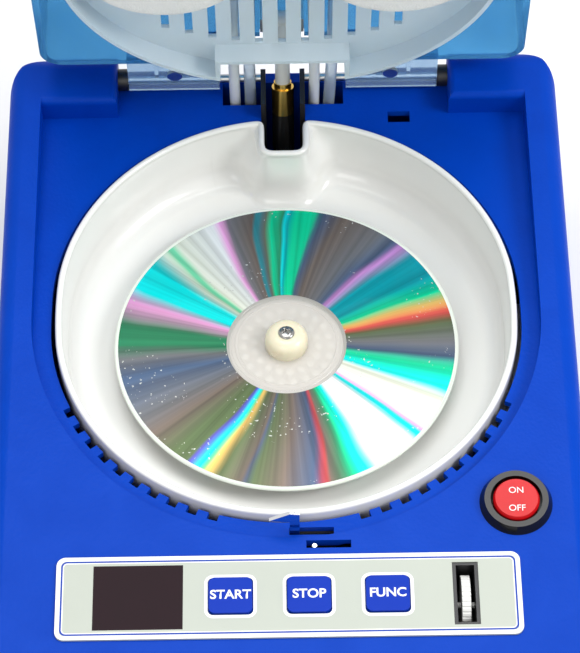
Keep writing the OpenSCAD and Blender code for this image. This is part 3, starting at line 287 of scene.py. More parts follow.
# %% Make the finishes
case_blue = finish("case_blue", (0.0003, 0.054, 0.47), (0.0002, 0.042, 0.39),
                   rough=(0.30, 0.42), grain=(900.0, 0.35), Specular_IOR_Level=0.07)
bowl_white = finish("bowl_white", (0.86, 0.86, 0.83), (0.83, 0.83, 0.80),
                    rough=(0.12, 0.22), smear=20.0, Coat_Weight=0.3)
rubber_black = finish("rubber_black", (0.012, 0.012, 0.012), rough=(0.6, 0.8),
                      grain=(1200.0, 0.3))
satin_black = finish("satin_black", (0.010, 0.010, 0.012), rough=(0.3, 0.5),
                     grain=(1000.0, 0.1))
gloss_black = finish("gloss_black", (0.006, 0.006, 0.006), rough=(0.10, 0.18),
                     Coat_Weight=0.15, Specular_IOR_Level=0.25)
steel = finish("steel", (0.62, 0.62, 0.60), (0.50, 0.49, 0.46), rough=(0.22, 0.38),
               smear=200.0, Metallic=1.0)
sheet_steel = finish("sheet_steel", (0.55, 0.56, 0.57), (0.48, 0.49, 0.5),
                     rough=(0.3, 0.5), Metallic=1.0)
chrome = finish("chrome", (0.75, 0.76, 0.78), rough=(0.08, 0.16), Metallic=1.0)
brass = finish("brass", (0.80, 0.56, 0.16), (0.62, 0.40, 0.10), rough=(0.18, 0.32),
               smear=250.0, Metallic=1.0)
dark_chrome = finish("dark_chrome", (0.42, 0.41, 0.40), (0.25, 0.24, 0.23), rough=(0.12, 0.22),
                     smear=400.0, Metallic=1.0)
cast_metal = finish("cast_metal", (0.5, 0.5, 0.52), rough=(0.4, 0.55),
                    grain=(600.0, 0.2), Metallic=1.0)
overlay_beige = finish("overlay_beige", (0.50, 0.535, 0.475), (0.48, 0.515, 0.455),
                       rough=(0.38, 0.46), grain=(2200.0, 0.08), Specular_IOR_Level=0.2)
key_blue = finish("key_blue", (0.0003, 0.034, 0.42), (0.0003, 0.030, 0.38),
                  rough=(0.35, 0.42), Specular_IOR_Level=0.10)
ink_white = finish("ink_white", (0.9, 0.9, 0.9), (0.86, 0.86, 0.86), rough=(0.35, 0.45))
ink_blue = finish("ink_blue", (0.003, 0.05, 0.40), (0.003, 0.045, 0.36), rough=(0.35, 0.45),
                  Specular_IOR_Level=0.2)
smoked = finish("smoked", (0.012, 0.003, 0.006), (0.016, 0.004, 0.008), rough=(0.16, 0.22),
                smear=90.0, Specular_IOR_Level=0.06)
cap_red = finish("cap_red", (0.62, 0.006, 0.010), (0.52, 0.005, 0.008), rough=(0.16, 0.26),
                 Coat_Weight=0.12, Specular_IOR_Level=0.15)
dial_white = finish("dial_white", (0.8, 0.8, 0.78), (0.7, 0.7, 0.68), rough=(0.3, 0.5))
turntable_white = finish("turntable_white", (0.66, 0.61, 0.58), rough=(0.3, 0.45))
bead_white = finish("bead_white", (0.80, 0.77, 0.73), (0.76, 0.73, 0.69), rough=(0.2, 0.35))
knob_cream = finish("knob_cream", (0.83, 0.77, 0.58), (0.78, 0.71, 0.52), rough=(0.2, 0.32),
                    Subsurface_Weight=0.15, Subsurface_Scale=0.002)
strut_black = finish("strut_black", (0.012, 0.012, 0.013), rough=(0.18, 0.3),
                     Coat_Weight=0.3)
rod_pale = finish("rod_pale", (0.75, 0.75, 0.70), rough=(0.3, 0.45))
board_green = finish("board_green", (0.01, 0.12, 0.04), rough=(0.3, 0.5))
tank_natural = finish("tank_natural", (0.75, 0.78, 0.8), rough=(0.35, 0.5))
hose_white = finish("hose_white", (0.82, 0.86, 0.86), (0.78, 0.82, 0.82), rough=(0.3, 0.42))

# %% [markdown]
# The clear mouldings let light through. The lid is a thin blue-tinted moulding, so it is a
# rough glass with a low index, which keeps what is behind it readable. The inner cover is
# frosted, so its roughness is far higher. The hinge tabs and two hoses are nearly colourless.

# %% Make the clear finishes
lid_blue = finish("lid_blue", (0.16, 0.50, 0.82), (0.05, 0.30, 0.62), rough=(0.08, 0.22),
                  smear=32.0, Transmission_Weight=0.7, IOR=1.3, Specular_IOR_Level=0.3)
tab_clear = finish("tab_clear", (0.60, 0.78, 0.92), (0.42, 0.64, 0.86), rough=(0.05, 0.15),
                   Transmission_Weight=0.75, IOR=1.35, Specular_IOR_Level=0.3)
cover_frost = finish("cover_frost", (0.80, 0.89, 0.92), (0.70, 0.83, 0.90),
                     rough=(0.35, 0.5), smear=30.0, Transmission_Weight=0.38, IOR=1.35)
hose_clear = finish("hose_clear", (0.72, 0.82, 0.90), rough=(0.1, 0.25),
                    Transmission_Weight=0.6, IOR=1.4)
disc_clear = finish("disc_clear", (0.93, 0.96, 0.92), rough=(0.03, 0.06),
                    Transmission_Weight=0.95, IOR=1.45)

# %% Give the construction its finishes
FINISHES = {
    case_blue: ["base_tray", "top_case"],
    bowl_white: ["bowl"],
    rubber_black: ["rubber_feet", "shaft_seal", "drive_belt", "pad_belt"],
    satin_black: ["display_module", "key_switches", "dial_housing", "hinge_bushes",
                  "lock_guide", "power_inlet", "spindle_pulley", "left_pad_hub",
                  "right_pad_hub", "fluid_pump", "strut_channel"],
    gloss_black: ["power_switch_body"],
    steel: ["case_screws", "chassis_screws", "tab_screws", "knob_screw", "spindle_bearings",
            "spindle_shaft", "hinge_pins", "lock_spring", "drive_motor", "pad_motor"],
    sheet_steel: ["chassis_plate", "strut_bracket", "strut_clevis"],
    chrome: ["lock_hook"],
    brass: ["motor_pulley", "pad_motor_pulley", "strut_gland"],
    cast_metal: ["spindle_housing"],
    overlay_beige: ["panel_overlay"],
    key_blue: ["start_key", "stop_key", "func_key"],
    smoked: ["display_window"],
    cap_red: ["power_button"],
    dial_white: ["speed_dial"],
    turntable_white: ["turntable"],
    bead_white: ["grip_beads"],
    knob_cream: ["centre_knob"],
    strut_black: ["strut_tube"],
    rod_pale: ["strut_rod"],
    board_green: ["control_board"],
    tank_natural: ["fluid_tank"],
    hose_white: ["white_hoses"],
    hose_clear: ["clear_hoses"],
    lid_blue: ["lid_shell"],
    tab_clear: ["hinge_tabs", "lid_catch"],
    cover_frost: ["inner_cover"],
    disc_clear: ["optical_disc"],
}


def wear_finish(piece, made):
    """Puts one finish in every slot of a piece."""
    if not piece.material_slots:
        piece.data.materials.append(made)
    for slot in piece.material_slots:
        slot.material = made


dressed = 0
for made, names in FINISHES.items():
    for name in names:
        wear_finish(frame["nodes"][name], made)
        dressed += 1
print("dressed nodes:", dressed)

# %% [markdown]
# ## The wash bowl
# The bowl is a deep stadium basin with a rounded lip, and at the back a smooth bump makes room
# for the lid's strut. Both outlines, of the lip and of the bump, are drawn as polylines whose
# corners are rounded by averaging, and the wall is a loft from one to the other.

# %% Draw the bowl's outlines
bowl_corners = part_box("bowl")
BOWL_R = bowl_corners[1][0] / MM
BOWL_STRETCH = bowl_corners[1][1] / MM - BOWL_R
BOWL_LOW = bowl_corners[0][2] / MM
RIM_Z = bowl_corners[1][2] / MM
LIP_W = 2.3
LIP_R = 1.1
FLOOR_T = 1.6
FLOOR_FILLET = 8
NOTCH_END = math.radians(62)
SAMPLES_NOTCH = 90
SAMPLES_ROUND = 150


def stadium_y(x, radius):
    return BOWL_STRETCH + math.sqrt(max(radius * radius - x * x, 0.0))


def smooth(points, reach, passes=3):
    """Rounds the corners of an evenly spaced polyline that is mirrored about x = 0."""
    for _ in range(passes):
        done = []
        for i in range(len(points)):
            total = Vector((0, 0))
            for k in range(-reach, reach + 1):
                j = i + k
                if j < 0:
                    total += Vector((-points[-j].x, points[-j].y))
                else:
                    total += points[min(j, len(points) - 1)]
            done.append(total / (2 * reach + 1))
        tail = 3 * reach
        points = done[:-tail] + points[-tail:]
    return points


def half_outline(radius, front_y, front_half, side_half, reach):
    """From the middle of the bump round to the bowl's front, in millimetres.

    The bump's flat face lies at front_y and reaches front_half to the side. Its flank meets
    the bowl's wall at side_half. The corners are averaged over reach samples on each side.
    """
    corner = Vector((side_half, stadium_y(side_half, radius)))
    knots = [Vector((0, front_y)), Vector((front_half, front_y)), corner]
    start_turn = math.acos(side_half / radius)
    arc_steps = 59
    for i in range(1, arc_steps + 1):
        turn = start_turn + (NOTCH_END - start_turn) * i / arc_steps
        knots.append(Vector((radius * math.cos(turn), BOWL_STRETCH + radius * math.sin(turn))))
    lengths = [0.0]
    for a, b in zip(knots, knots[1:]):
        lengths.append(lengths[-1] + (b - a).length)
    even, k = [], 0
    for i in range(SAMPLES_NOTCH):
        want = lengths[-1] * i / (SAMPLES_NOTCH - 1)
        while k < len(lengths) - 2 and lengths[k + 1] < want:
            k += 1
        share = (want - lengths[k]) / (lengths[k + 1] - lengths[k])
        even.append(knots[k].lerp(knots[k + 1], share))
    even = smooth(even, reach)
    for i in range(1, SAMPLES_ROUND + 1):
        turn = NOTCH_END + (-math.pi / 2 - NOTCH_END) * i / SAMPLES_ROUND
        lift = BOWL_STRETCH * min(1.0, max(0.0, math.sin(turn) * 4 + 0.5))
        even.append(Vector((radius * math.cos(turn), lift + radius * math.sin(turn))))
    return even


def whole(half):
    """Closes a half outline by its mirror image."""
    return half + [Vector((-p.x, p.y)) for p in reversed(half[1:-1])]


def inward(outline, distance):
    """Moves a closed outline towards the bowl's inside."""
    count = len(outline)
    moved = []
    for i, point in enumerate(outline):
        along = (outline[(i + 1) % count] - outline[i - 1]).normalized()
        moved.append(point + Vector((along.y, -along.x)) * distance)
    return moved


lip = whole(half_outline(BOWL_R, front_y=73.7, front_half=6.9, side_half=6.95, reach=3))
wall_high = whole(half_outline(BOWL_R - 1.7, front_y=72.0, front_half=8.6, side_half=10.5,
                               reach=4))
wall_low = whole(half_outline(BOWL_R - 3.6, front_y=70.0, front_half=8.8, side_half=17.0,
                              reach=7))

# %% Loft the bowl
bowl_floor = BOWL_LOW + FLOOR_T
wall_top = RIM_Z - 2.0
rows = [([p.xy * 0.9 for p in lip], BOWL_LOW + 0.2), (inward(lip, 2.2), BOWL_LOW + 3)]
rows += [(lip, BOWL_LOW + FLOOR_FILLET), (lip, RIM_Z - LIP_R)]
LIP_STEPS, WALL_STEPS, FILLET_STEPS = 8, 10, 8
for step in range(1, LIP_STEPS):
    turn = math.pi * step / LIP_STEPS
    rows.append((inward(lip, LIP_W / 2 - LIP_W / 2 * math.cos(turn)),
                 RIM_Z - LIP_R + LIP_R * math.sin(turn)))
rows.append((inward(lip, LIP_W), RIM_Z - LIP_R - 0.1))
for step in range(WALL_STEPS + 1):
    share = step / WALL_STEPS
    eased = share * share * (3 - 2 * share)
    mixed = [a.lerp(b, eased) for a, b in zip(wall_high, wall_low)]
    rows.append((mixed, wall_top - (wall_top - bowl_floor - FLOOR_FILLET) * share))
for step in range(1, FILLET_STEPS + 1):
    turn = math.pi / 2 * step / FILLET_STEPS
    shrink = 1 - FLOOR_FILLET / BOWL_R * (1 - math.cos(turn))
    rows.append(([p * shrink for p in wall_low],
                 bowl_floor + FLOOR_FILLET * (1 - math.sin(turn))))
rows.append(([p * 0.5 for p in wall_low], bowl_floor))
rows.append(([p * 0.08 for p in wall_low], bowl_floor))

bowl_bm = bmesh.new()
rings = [[bowl_bm.verts.new((p.x * MM, p.y * MM, z * MM)) for p in line] for line, z in rows]
for low, high in zip(rings, rings[1:]):
    for i in range(len(low)):
        j = (i + 1) % len(low)
        bowl_bm.faces.new((low[i], low[j], high[j], high[i]))
bmesh.ops.recalc_face_normals(bowl_bm, faces=bowl_bm.faces)
bowl_piece = new_object("wash_bowl", mesh_from(bowl_bm, "wash_bowl"))
bowl_piece.data.materials.append(bowl_white)
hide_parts("bowl")
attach(bowl_piece, "root")
print("bowl faces:", len(bowl_piece.data.polygons))

# %% [markdown]
# ## The disc
# A data disc has a clear hub, a metallised band and a clear edge. The pits of the band split
# white light into a rainbow reflection, and that reflection is painted into the band's colour: a
# painted reflection that changes with the direction from the middle, in narrow wedges, with
# white wedges as painted highlights. One group turns the direction into a place on one of two
# ramps, for the front and the back of the disc. A little noise bends the wedges' sides, fine
# painted streaks of the reflection run out along the radius, and small scuffs lie in patches.

# %% Node group for the painted diffraction reflection
WHITE, CREAM, PINK = (1.0, 1.0, 0.97), (0.98, 1.0, 0.80), (1.0, 0.42, 0.78)
MAUVE, INDIGO, SLATE = (0.72, 0.30, 0.72), (0.12, 0.06, 0.72), (0.07, 0.12, 0.22)
CYAN, TEAL, GREEN = (0.0, 0.86, 0.84), (0.0, 0.36, 0.42), (0.0, 0.78, 0.36)
MOSS, OLIVE, AMBER = (0.03, 0.26, 0.12), (0.12, 0.17, 0.07), (0.92, 0.55, 0.14)
RED, BROWN, GREY = (0.72, 0.06, 0.07), (0.20, 0.15, 0.12), (0.19, 0.19, 0.20)
HALF_SHARE = 0.482
# Each wedge is a painted reflection: the colours that the lamps' light splits into, fixed on the
# band by direction; the white and cream wedges are painted highlights.
FRONT_PAINTED_GLINTS = [
    (0.000, MOSS), (0.020, GREY), (0.042, SLATE), (0.085, GREY), (0.105, BROWN), (0.135, OLIVE),
    (0.153, OLIVE), (0.158, INDIGO), (0.166, CYAN), (0.171, GREEN), (0.175, AMBER),
    (0.186, OLIVE), (0.208, BROWN), (0.212, SLATE), (0.216, OLIVE), (0.250, BROWN),
    (0.284, SLATE), (0.292, RED), (0.297, BROWN), (0.311, MOSS), (0.318, GREEN), (0.330, CYAN),
    (0.340, WHITE), (0.376, WHITE), (0.381, CYAN), (0.387, CYAN), (0.391, PINK), (0.397, WHITE),
    (0.432, CREAM), (0.440, CYAN), (0.466, GREEN), (HALF_SHARE, SLATE),
]
BACK_PAINTED_GLINTS = [
    (HALF_SHARE, SLATE), (0.500, GREY), (0.522, OLIVE), (0.534, RED), (0.546, AMBER),
    (0.558, GREEN),
    (0.580, TEAL), (0.612, TEAL), (0.630, MAUVE), (0.638, SLATE), (0.660, GREY), (0.700, BROWN),
    (0.718, SLATE), (0.723, GREEN), (0.740, GREEN), (0.747, TEAL), (0.750, CYAN),
    (0.753, MOSS), (0.766, GREEN), (0.774, BROWN), (0.784, TEAL), (0.789, BROWN), (0.812, GREY),
    (0.820, PINK), (0.828, WHITE), (0.868, CREAM), (0.877, GREEN), (0.885, CREAM),
    (0.900, CYAN), (0.930, CYAN), (0.944, PINK), (0.974, MOSS),
]
split_group, split_in, split_out = group_with(
    "diffraction",
    [("Vector", "NodeSocketVector", None)],
    [("Colour", "NodeSocketColor"), ("Scuff", "NodeSocketFloat")],
)


def split_node(kind, **settings):
    """A node of the painted diffraction group, with its settings."""
    made = split_group.nodes.new(kind)
    for key, value in settings.items():
        setattr(made, key, value)
    return made


def split_math(operation, first, second=None, third=None):
    """A maths node fed by sockets or by plain numbers."""
    made = split_node("ShaderNodeMath", operation=operation)
    for slot, value in enumerate((first, second, third)):
        if isinstance(value, (int, float)):
            made.inputs[slot].default_value = value
        elif value is not None:
            split_group.links.new(value, made.inputs[slot])
    return made.outputs[0]


def split_noise(vector, scale, detail):
    """A noise over a vector."""
    made = split_node("ShaderNodeTexNoise")
    made.inputs["Scale"].default_value = scale
    made.inputs["Detail"].default_value = detail
    split_group.links.new(vector, made.inputs["Vector"])
    return made.outputs["Fac"]


def split_ramp(wedges, share):
    """A colour ramp with one stop for each wedge's side."""
    made = split_node("ShaderNodeValToRGB")
    for place, colour in wedges[1:-1]:
        made.color_ramp.elements.new(place)
    for stop, (place, colour) in zip(made.color_ramp.elements, wedges):
        stop.position = place
        stop.color = (*colour, 1)
    split_group.links.new(share, made.inputs["Fac"])
    return made.outputs["Color"]


part = split_node("ShaderNodeSeparateXYZ")
split_group.links.new(split_in.outputs["Vector"], part.inputs["Vector"])
flat = split_node("ShaderNodeVectorMath", operation="MULTIPLY")
flat.inputs[1].default_value = (1, 1, 0)
split_group.links.new(split_in.outputs["Vector"], flat.inputs[0])
spoke = split_node("ShaderNodeVectorMath", operation="NORMALIZE")
split_group.links.new(flat.outputs["Vector"], spoke.inputs[0])
reach = split_node("ShaderNodeVectorMath", operation="LENGTH")
split_group.links.new(flat.outputs["Vector"], reach.inputs[0])
turn_share = split_math("MULTIPLY_ADD", split_math("ARCTAN2", part.outputs["Y"],
                                                   part.outputs["X"]), 0.5 / math.pi, 0.5)
bend = split_math("MULTIPLY_ADD", split_noise(split_in.outputs["Vector"], 24.0, 1.5), 0.030,
                  -0.015)
fan = split_math("MULTIPLY_ADD", reach.outputs["Value"], 0.25, -0.0115)
wedge_share = split_math("ADD", split_math("ADD", turn_share, bend), fan)
halves = split_node("ShaderNodeMix", data_type="RGBA")
split_group.links.new(split_math("GREATER_THAN", wedge_share, HALF_SHARE), halves.inputs["Factor"])
split_group.links.new(split_ramp(FRONT_PAINTED_GLINTS, wedge_share), halves.inputs["A"])
split_group.links.new(split_ramp(BACK_PAINTED_GLINTS, wedge_share), halves.inputs["B"])
# Painted streaks: radial brightening and darkening of the painted reflection.
painted_streaks = split_math("MULTIPLY_ADD", split_noise(spoke.outputs["Vector"], 16.0, 7.0), 1.5, 0.25)
streaked = split_node("ShaderNodeVectorMath", operation="SCALE")
split_group.links.new(halves.outputs["Result"], streaked.inputs[0])
split_group.links.new(painted_streaks, streaked.inputs["Scale"])
split_group.links.new(streaked.outputs["Vector"], split_out.inputs["Colour"])
speck_map = split_node("ShaderNodeMapRange")
speck_map.inputs["From Min"].default_value = 0.66
speck_map.inputs["From Max"].default_value = 0.70
split_group.links.new(split_noise(split_in.outputs["Vector"], 800.0, 2.0),
                      speck_map.inputs["Value"])
speck_zone = split_math("GREATER_THAN", split_noise(split_in.outputs["Vector"], 38.0, 3.0), 0.55)
split_group.links.new(split_math("MULTIPLY", speck_map.outputs["Result"], speck_zone),
                      split_out.inputs["Scuff"])
print("wedges:", len(FRONT_PAINTED_GLINTS) + len(BACK_PAINTED_GLINTS))

# %% Make the disc's finishes
disc_band = bpy.data.materials.new("disc_band")
disc_band.use_nodes = True
band_nodes, band_links = disc_band.node_tree.nodes, disc_band.node_tree.links
band_shader = band_nodes["Principled BSDF"]
band_place = band_nodes.new("ShaderNodeTexCoord")
band_split = band_nodes.new("ShaderNodeGroup")
band_split.node_tree = split_group
band_mix = band_nodes.new("ShaderNodeMix")
band_mix.data_type = "RGBA"
band_mix.inputs["B"].default_value = (0.72, 0.72, 0.66, 1)
band_links.new(band_place.outputs["Object"], band_split.inputs["Vector"])
band_links.new(band_split.outputs["Colour"], band_mix.inputs["A"])
band_links.new(band_split.outputs["Scuff"], band_mix.inputs["Factor"])
# The band's base colour carries the painted diffraction reflection; only the scuffs are the disc's
# own marks.
band_links.new(band_mix.outputs["Result"], band_shader.inputs["Base Color"])
band_shader.inputs["Metallic"].default_value = 0.55
band_shader.inputs["Roughness"].default_value = 0.24
band_shader.inputs["Coat Weight"].default_value = 0.25
hub_clear = finish("hub_clear", (0.88, 0.86, 0.80), (0.84, 0.82, 0.76), rough=(0.04, 0.08),
                   Alpha=0.34, Coat_Weight=0.5)
rim_clear = finish("rim_clear", (0.80, 0.84, 0.76), (0.70, 0.76, 0.68), rough=(0.05, 0.10),
                   Coat_Weight=0.4)

# %% Model the disc
BAND_IN, BAND_OUT, HOLE_R = 20.9, 58.7, 7.5
DISC_T = 1.2
CLEAR_SLOT, BAND_SLOT, RIM_SLOT = 0, 1, 2
disc_rings = [(HOLE_R, 0.0), (17.2, 0.0), (17.5, 0.15), (17.9, 0.15), (18.2, 0.0), (19.3, 0.0),
              (19.5, -0.12), (19.8, -0.12), (20.0, 0.0), (BAND_IN, 0.0), (30, 0.0), (40, 0.0),
              (50, 0.0), (BAND_OUT, 0.0), (59.6, 0.0), (59.95, -0.3)]
disc_bm = bmesh.new()
TURNS = 160
around = [(math.cos(2 * math.pi * i / TURNS), math.sin(2 * math.pi * i / TURNS))
          for i in range(TURNS)]
under = [(59.95, 0.3 - DISC_T), (59.6, -DISC_T), (HOLE_R, -DISC_T)]
levels = [[disc_bm.verts.new((c * r * MM, s * r * MM, h * MM)) for c, s in around]
          for r, h in disc_rings + under]
levels.append(levels[0])
for k, (inner, outer) in enumerate(zip(levels, levels[1:])):
    for i in range(TURNS):
        j = (i + 1) % TURNS
        face = disc_bm.faces.new((inner[i], inner[j], outer[j], outer[i]))
        middle = disc_rings[k][0] if k < len(disc_rings) else 0
        if BAND_IN <= middle < BAND_OUT:
            face.material_index = BAND_SLOT
        elif BAND_OUT <= middle:
            face.material_index = RIM_SLOT
        elif k >= len(disc_rings) - 1:
            face.material_index = RIM_SLOT if k < len(disc_rings) + 1 else CLEAR_SLOT
bmesh.ops.recalc_face_normals(disc_bm, faces=disc_bm.faces)
disc_mesh = mesh_from(disc_bm, "data_disc", smooth=False)
for made in (hub_clear, disc_band, rim_clear):
    disc_mesh.materials.append(made)
disc_mesh.transform(Matrix.Translation((0, 0, disc_top)))
disc_piece = new_object("data_disc", disc_mesh)
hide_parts("optical_disc")
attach(disc_piece, "spindle")
print("disc faces:", len(disc_mesh.polygons))

# %% [markdown]
# ## The turntable's beads
# Two rings of soft domes carry the disc. They show through its clear hub.

# %% Model the beads
bead_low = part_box("grip_beads")[0][2] / MM
BEAD_R, BEAD_H = 1.65, 0.6
BEAD_RINGS = ((15.2, 22), (11.0, 17))
beads_bm = bmesh.new()
for ring_r, count in BEAD_RINGS:
    for i in range(count):
        turn = 2 * math.pi * i / count
        made = bmesh.ops.create_uvsphere(beads_bm, u_segments=16, v_segments=8,
                                         radius=BEAD_R * MM)
        place = Vector((ring_r * math.cos(turn), ring_r * math.sin(turn), bead_low)) * MM
        for vert in made["verts"]:
            height = max(0.0, vert.co.z) * BEAD_H / BEAD_R
            vert.co = place + Vector((vert.co.x, vert.co.y, height))
beads_piece = new_object("bead_domes", mesh_from(beads_bm, "bead_domes"))
beads_piece.data.materials.append(bead_white)
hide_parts("grip_beads")
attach(beads_piece, "spindle")
print("beads:", sum(count for _, count in BEAD_RINGS))

# %% [markdown]
# ## The knob and its screw
# The knob over the spindle is a soft dome. Its screw has a rounded head with a cross sunk into
# it.

# %% Helpers for turned pieces and the screw's head
def turned(bm, profile, place, turns=72, sink=None):
    """Turns a profile of (radius, height) round an axis; sink lowers a vertex by its place."""
    rings = []
    for r, h in profile:
        ring = []
        for i in range(turns):
            a = 2 * math.pi * i / turns
            x, y = r * math.cos(a), r * math.sin(a)
            drop = sink(x, y) if sink else 0
            ring.append(bm.verts.new(place @ Vector((x * MM, y * MM, (h - drop) * MM))))
        rings.append(ring)
    for low, high in zip(rings, rings[1:]):
        for i in range(turns):
            j = (i + 1) % turns
            bm.faces.new((low[i], low[j], high[j], high[i]))
    bm.faces.new(list(reversed(rings[0])))
    bm.faces.new(rings[-1])


def cross_sink(x, y):
    """The depth of a cross-head recess at a place on the head, in millimetres."""
    arm, half, slant, depth = 1.5, 0.32, 0.12, 0.7
    across = max(0.0, min(1.0, (half - abs(y)) / slant)) if abs(x) < arm else 0.0
    along = max(0.0, min(1.0, (half - abs(x)) / slant)) if abs(y) < arm else 0.0
    return depth * max(across, along)


def screw_head(bm, radius, height, place):
    """A rounded head of a given radius and height over its seat, in millimetres."""
    steps, edge_share, sunk_share = 26, 0.4, 0.85
    profile = [(radius, 0.0), (radius, edge_share * height)]
    for k in range(steps):
        r = radius * (1 - (k + 1) / (steps + 0.5))
        dome = math.sqrt(1 - (r / radius) ** 2)
        profile.append((r, height * (edge_share + (1 - edge_share) * dome)))
    turned(bm, profile, place, turns=96, sink=lambda x, y: cross_sink(x, y)
           if math.hypot(x, y) < sunk_share * radius else 0)


# %% Model the knob and its screw
knob_low, knob_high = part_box("centre_knob")
KNOB_R = knob_high[0] / MM
knob_base, knob_top = knob_low[2] / MM, knob_high[2] / MM
rise = knob_top - knob_base
knob_bm = bmesh.new()
KNOB_SHAPE = [(0.96, 0.0), (1.0, 0.04), (1.0, 0.45), (0.995, 0.58), (0.96, 0.70), (0.90, 0.80),
              (0.81, 0.88), (0.70, 0.94), (0.57, 0.98), (0.42, 1.0), (0.36, 0.99), (0.36, 0.9)]
turned(knob_bm, [(KNOB_R * r, knob_base + rise * h) for r, h in KNOB_SHAPE], Matrix.Identity(4))
knob_piece = new_object("soft_knob", mesh_from(knob_bm, "soft_knob"))
knob_piece.data.materials.append(knob_cream)
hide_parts("centre_knob")
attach(knob_piece, "spindle")
HEAD_H, HEAD_SEAT, HEAD_TURN = 1.5, 1.4, 0.5
head_bm = bmesh.new()
screw_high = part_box("knob_screw")[1]
screw_head(head_bm, screw_high[0] / MM, HEAD_H,
           Matrix.Translation((0, 0, screw_high[2] - HEAD_SEAT * MM))
           @ Matrix.Rotation(HEAD_TURN, 4, "Z"))
head_piece = new_object("knob_screw_head", mesh_from(head_bm, "knob_screw_head"))
head_piece.data.materials.append(dark_chrome)
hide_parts("knob_screw")
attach(head_piece, "spindle")
print("knob", round(KNOB_R, 2), round(knob_base, 2), round(knob_top, 2))

# %% [markdown]
# ## The control panel's print
# The overlay carries a white edge, a thin blue line inside it and a white frame round each
# key. The words are flat letters, turned to meshes, that lie on the keys.

# %% Helpers for flat print on the sloping panel
panel_low, panel_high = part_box("panel_overlay")
panel_middle = Vector(((panel_low[0] + panel_high[0]) / 2, (panel_low[1] + panel_high[1]) / 2,
                       (panel_low[2] + panel_high[2]) / 2))
panel_turn = Matrix.Rotation(slope, 4, "X")
panel_top_z = panel_high[2] - (panel_high[1] - panel_middle.y) * math.tan(slope)
CAP_SHARE = 0.69


def on_panel(x, dy, lift):
    """A place over the panel: across in metres, behind its middle, above its face."""
    along = panel_turn @ Vector((0, dy, lift))
    return Vector((x, panel_middle.y, panel_top_z)) + along


def ring_outline(width, depth, radius, corner_steps=8):
    """The corner points of a rounded rectangle, in millimetres."""
    points = []
    for cx, cy, start in ((1, 1, 0), (-1, 1, 90), (-1, -1, 180), (1, -1, 270)):
        for i in range(corner_steps + 1):
            turn = math.radians(start + 90 * i / corner_steps)
            points.append(Vector((cx * (width / 2 - radius) + radius * math.cos(turn),
                                  cy * (depth / 2 - radius) + radius * math.sin(turn))))
    return points


def print_frame(bm, x, dy, width, depth, radius, line, lift):
    """A flat rounded frame of one line width, in millimetres, on the panel's face."""
    outer = ring_outline(width, depth, radius)
    inner = ring_outline(width - 2 * line, depth - 2 * line, max(radius - line, 0.05))
    rings = [[bm.verts.new(on_panel(x * MM + p.x * MM, (dy + p.y) * MM, lift * MM))
              for p in line_points] for line_points in (outer, inner)]
    for i in range(len(outer)):
        j = (i + 1) % len(outer)
        bm.faces.new((rings[0][i], rings[0][j], rings[1][j], rings[1][i]))


def add_print(name, bm, made):
    """Flat print that stays on the overlay."""
    piece = new_object(name, mesh_from(bm, name, smooth=False))
    piece.data.materials.append(made)
    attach(piece, "root")


def letters(name, word, height, matrix, body, stretch=1.0, bold=0.0):
    """Flat white letters as a mesh, centred on their place; heights in millimetres."""
    curve = bpy.data.curves.new(name, "FONT")
    curve.body = word
    curve.align_x = "CENTER"
    curve.align_y = "CENTER"
    curve.size = height * MM / CAP_SHARE
    curve.offset = bold * MM
    raw = bpy.data.objects.new(name + "_text", curve)
    mesh = bpy.data.meshes.new_from_object(raw)
    bpy.data.objects.remove(raw)
    mesh.transform(matrix @ Matrix.Diagonal((stretch, 1, 1, 1)))
    piece = new_object(name, mesh)
    wear_finish(piece, ink_white)
    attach(piece, body)


# %% Print the panel
PANEL_W = (panel_high[0] - panel_low[0]) / MM
PANEL_D = 29.6
PANEL_X = panel_middle.x / MM
WHITE_LIFT, BLUE_LIFT = 0.03, 0.04
KEY_FRAME_W, KEY_FRAME_D, KEY_FRAME_R, KEY_FRAME_LINE = 16.9, 15.5, 2.9, 1.1
edge_bm = bmesh.new()
print_frame(edge_bm, PANEL_X, 0, PANEL_W - 0.1, PANEL_D - 0.1, 2.95, 1.45, WHITE_LIFT)
print_frame(edge_bm, PANEL_X, 0, PANEL_W - 4.2, PANEL_D - 4.2, 1.5, 0.35, WHITE_LIFT)
keys = {name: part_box(name) for name in ("start_key", "stop_key", "func_key")}
for low, high in keys.values():
    print_frame(edge_bm, (low[0] + high[0]) / 2 / MM, 0, KEY_FRAME_W, KEY_FRAME_D, KEY_FRAME_R,
                KEY_FRAME_LINE, WHITE_LIFT)
add_print("white_print", edge_bm, ink_white)
line_bm = bmesh.new()
print_frame(line_bm, PANEL_X, 0, PANEL_W - 3.0, PANEL_D - 3.0, 2.1, 0.6, BLUE_LIFT)
add_print("blue_print", line_bm, ink_blue)
for name, word in (("start_key", "START"), ("stop_key", "STOP"), ("func_key", "FUNC")):
    low, high = keys[name]
    spot = Vector(((low[0] + high[0]) / 2, (low[1] + high[1]) / 2, 0))
    spot.z = high[2] - (high[1] - spot.y) * math.tan(slope) + WHITE_LIFT * MM
    letters("word_" + name, word, 3.05, Matrix.Translation(spot) @ panel_turn, name,
            stretch=1.02, bold=0.10)
print("panel print done")

# %% Print the power switch's cap
CAP_R = 7
cap_low, cap_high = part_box("power_button")
body_low, body_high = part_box("power_switch_body")
cap_middle = Vector(((cap_low[0] + cap_high[0]) / 2, (body_low[1] + body_high[1]) / 2, 0))
cap_middle.z = cap_high[2] - CAP_R * MM * math.sin(slope) + BLUE_LIFT * MM
for word, dy in (("ON", 2.6), ("OFF", -4.0)):
    spot = cap_middle + panel_turn @ Vector((0, dy * MM, 0))
    letters("cap_" + word.lower(), word, 2.2, Matrix.Translation(spot) @ panel_turn,
            "power_button")
print("cap print done")

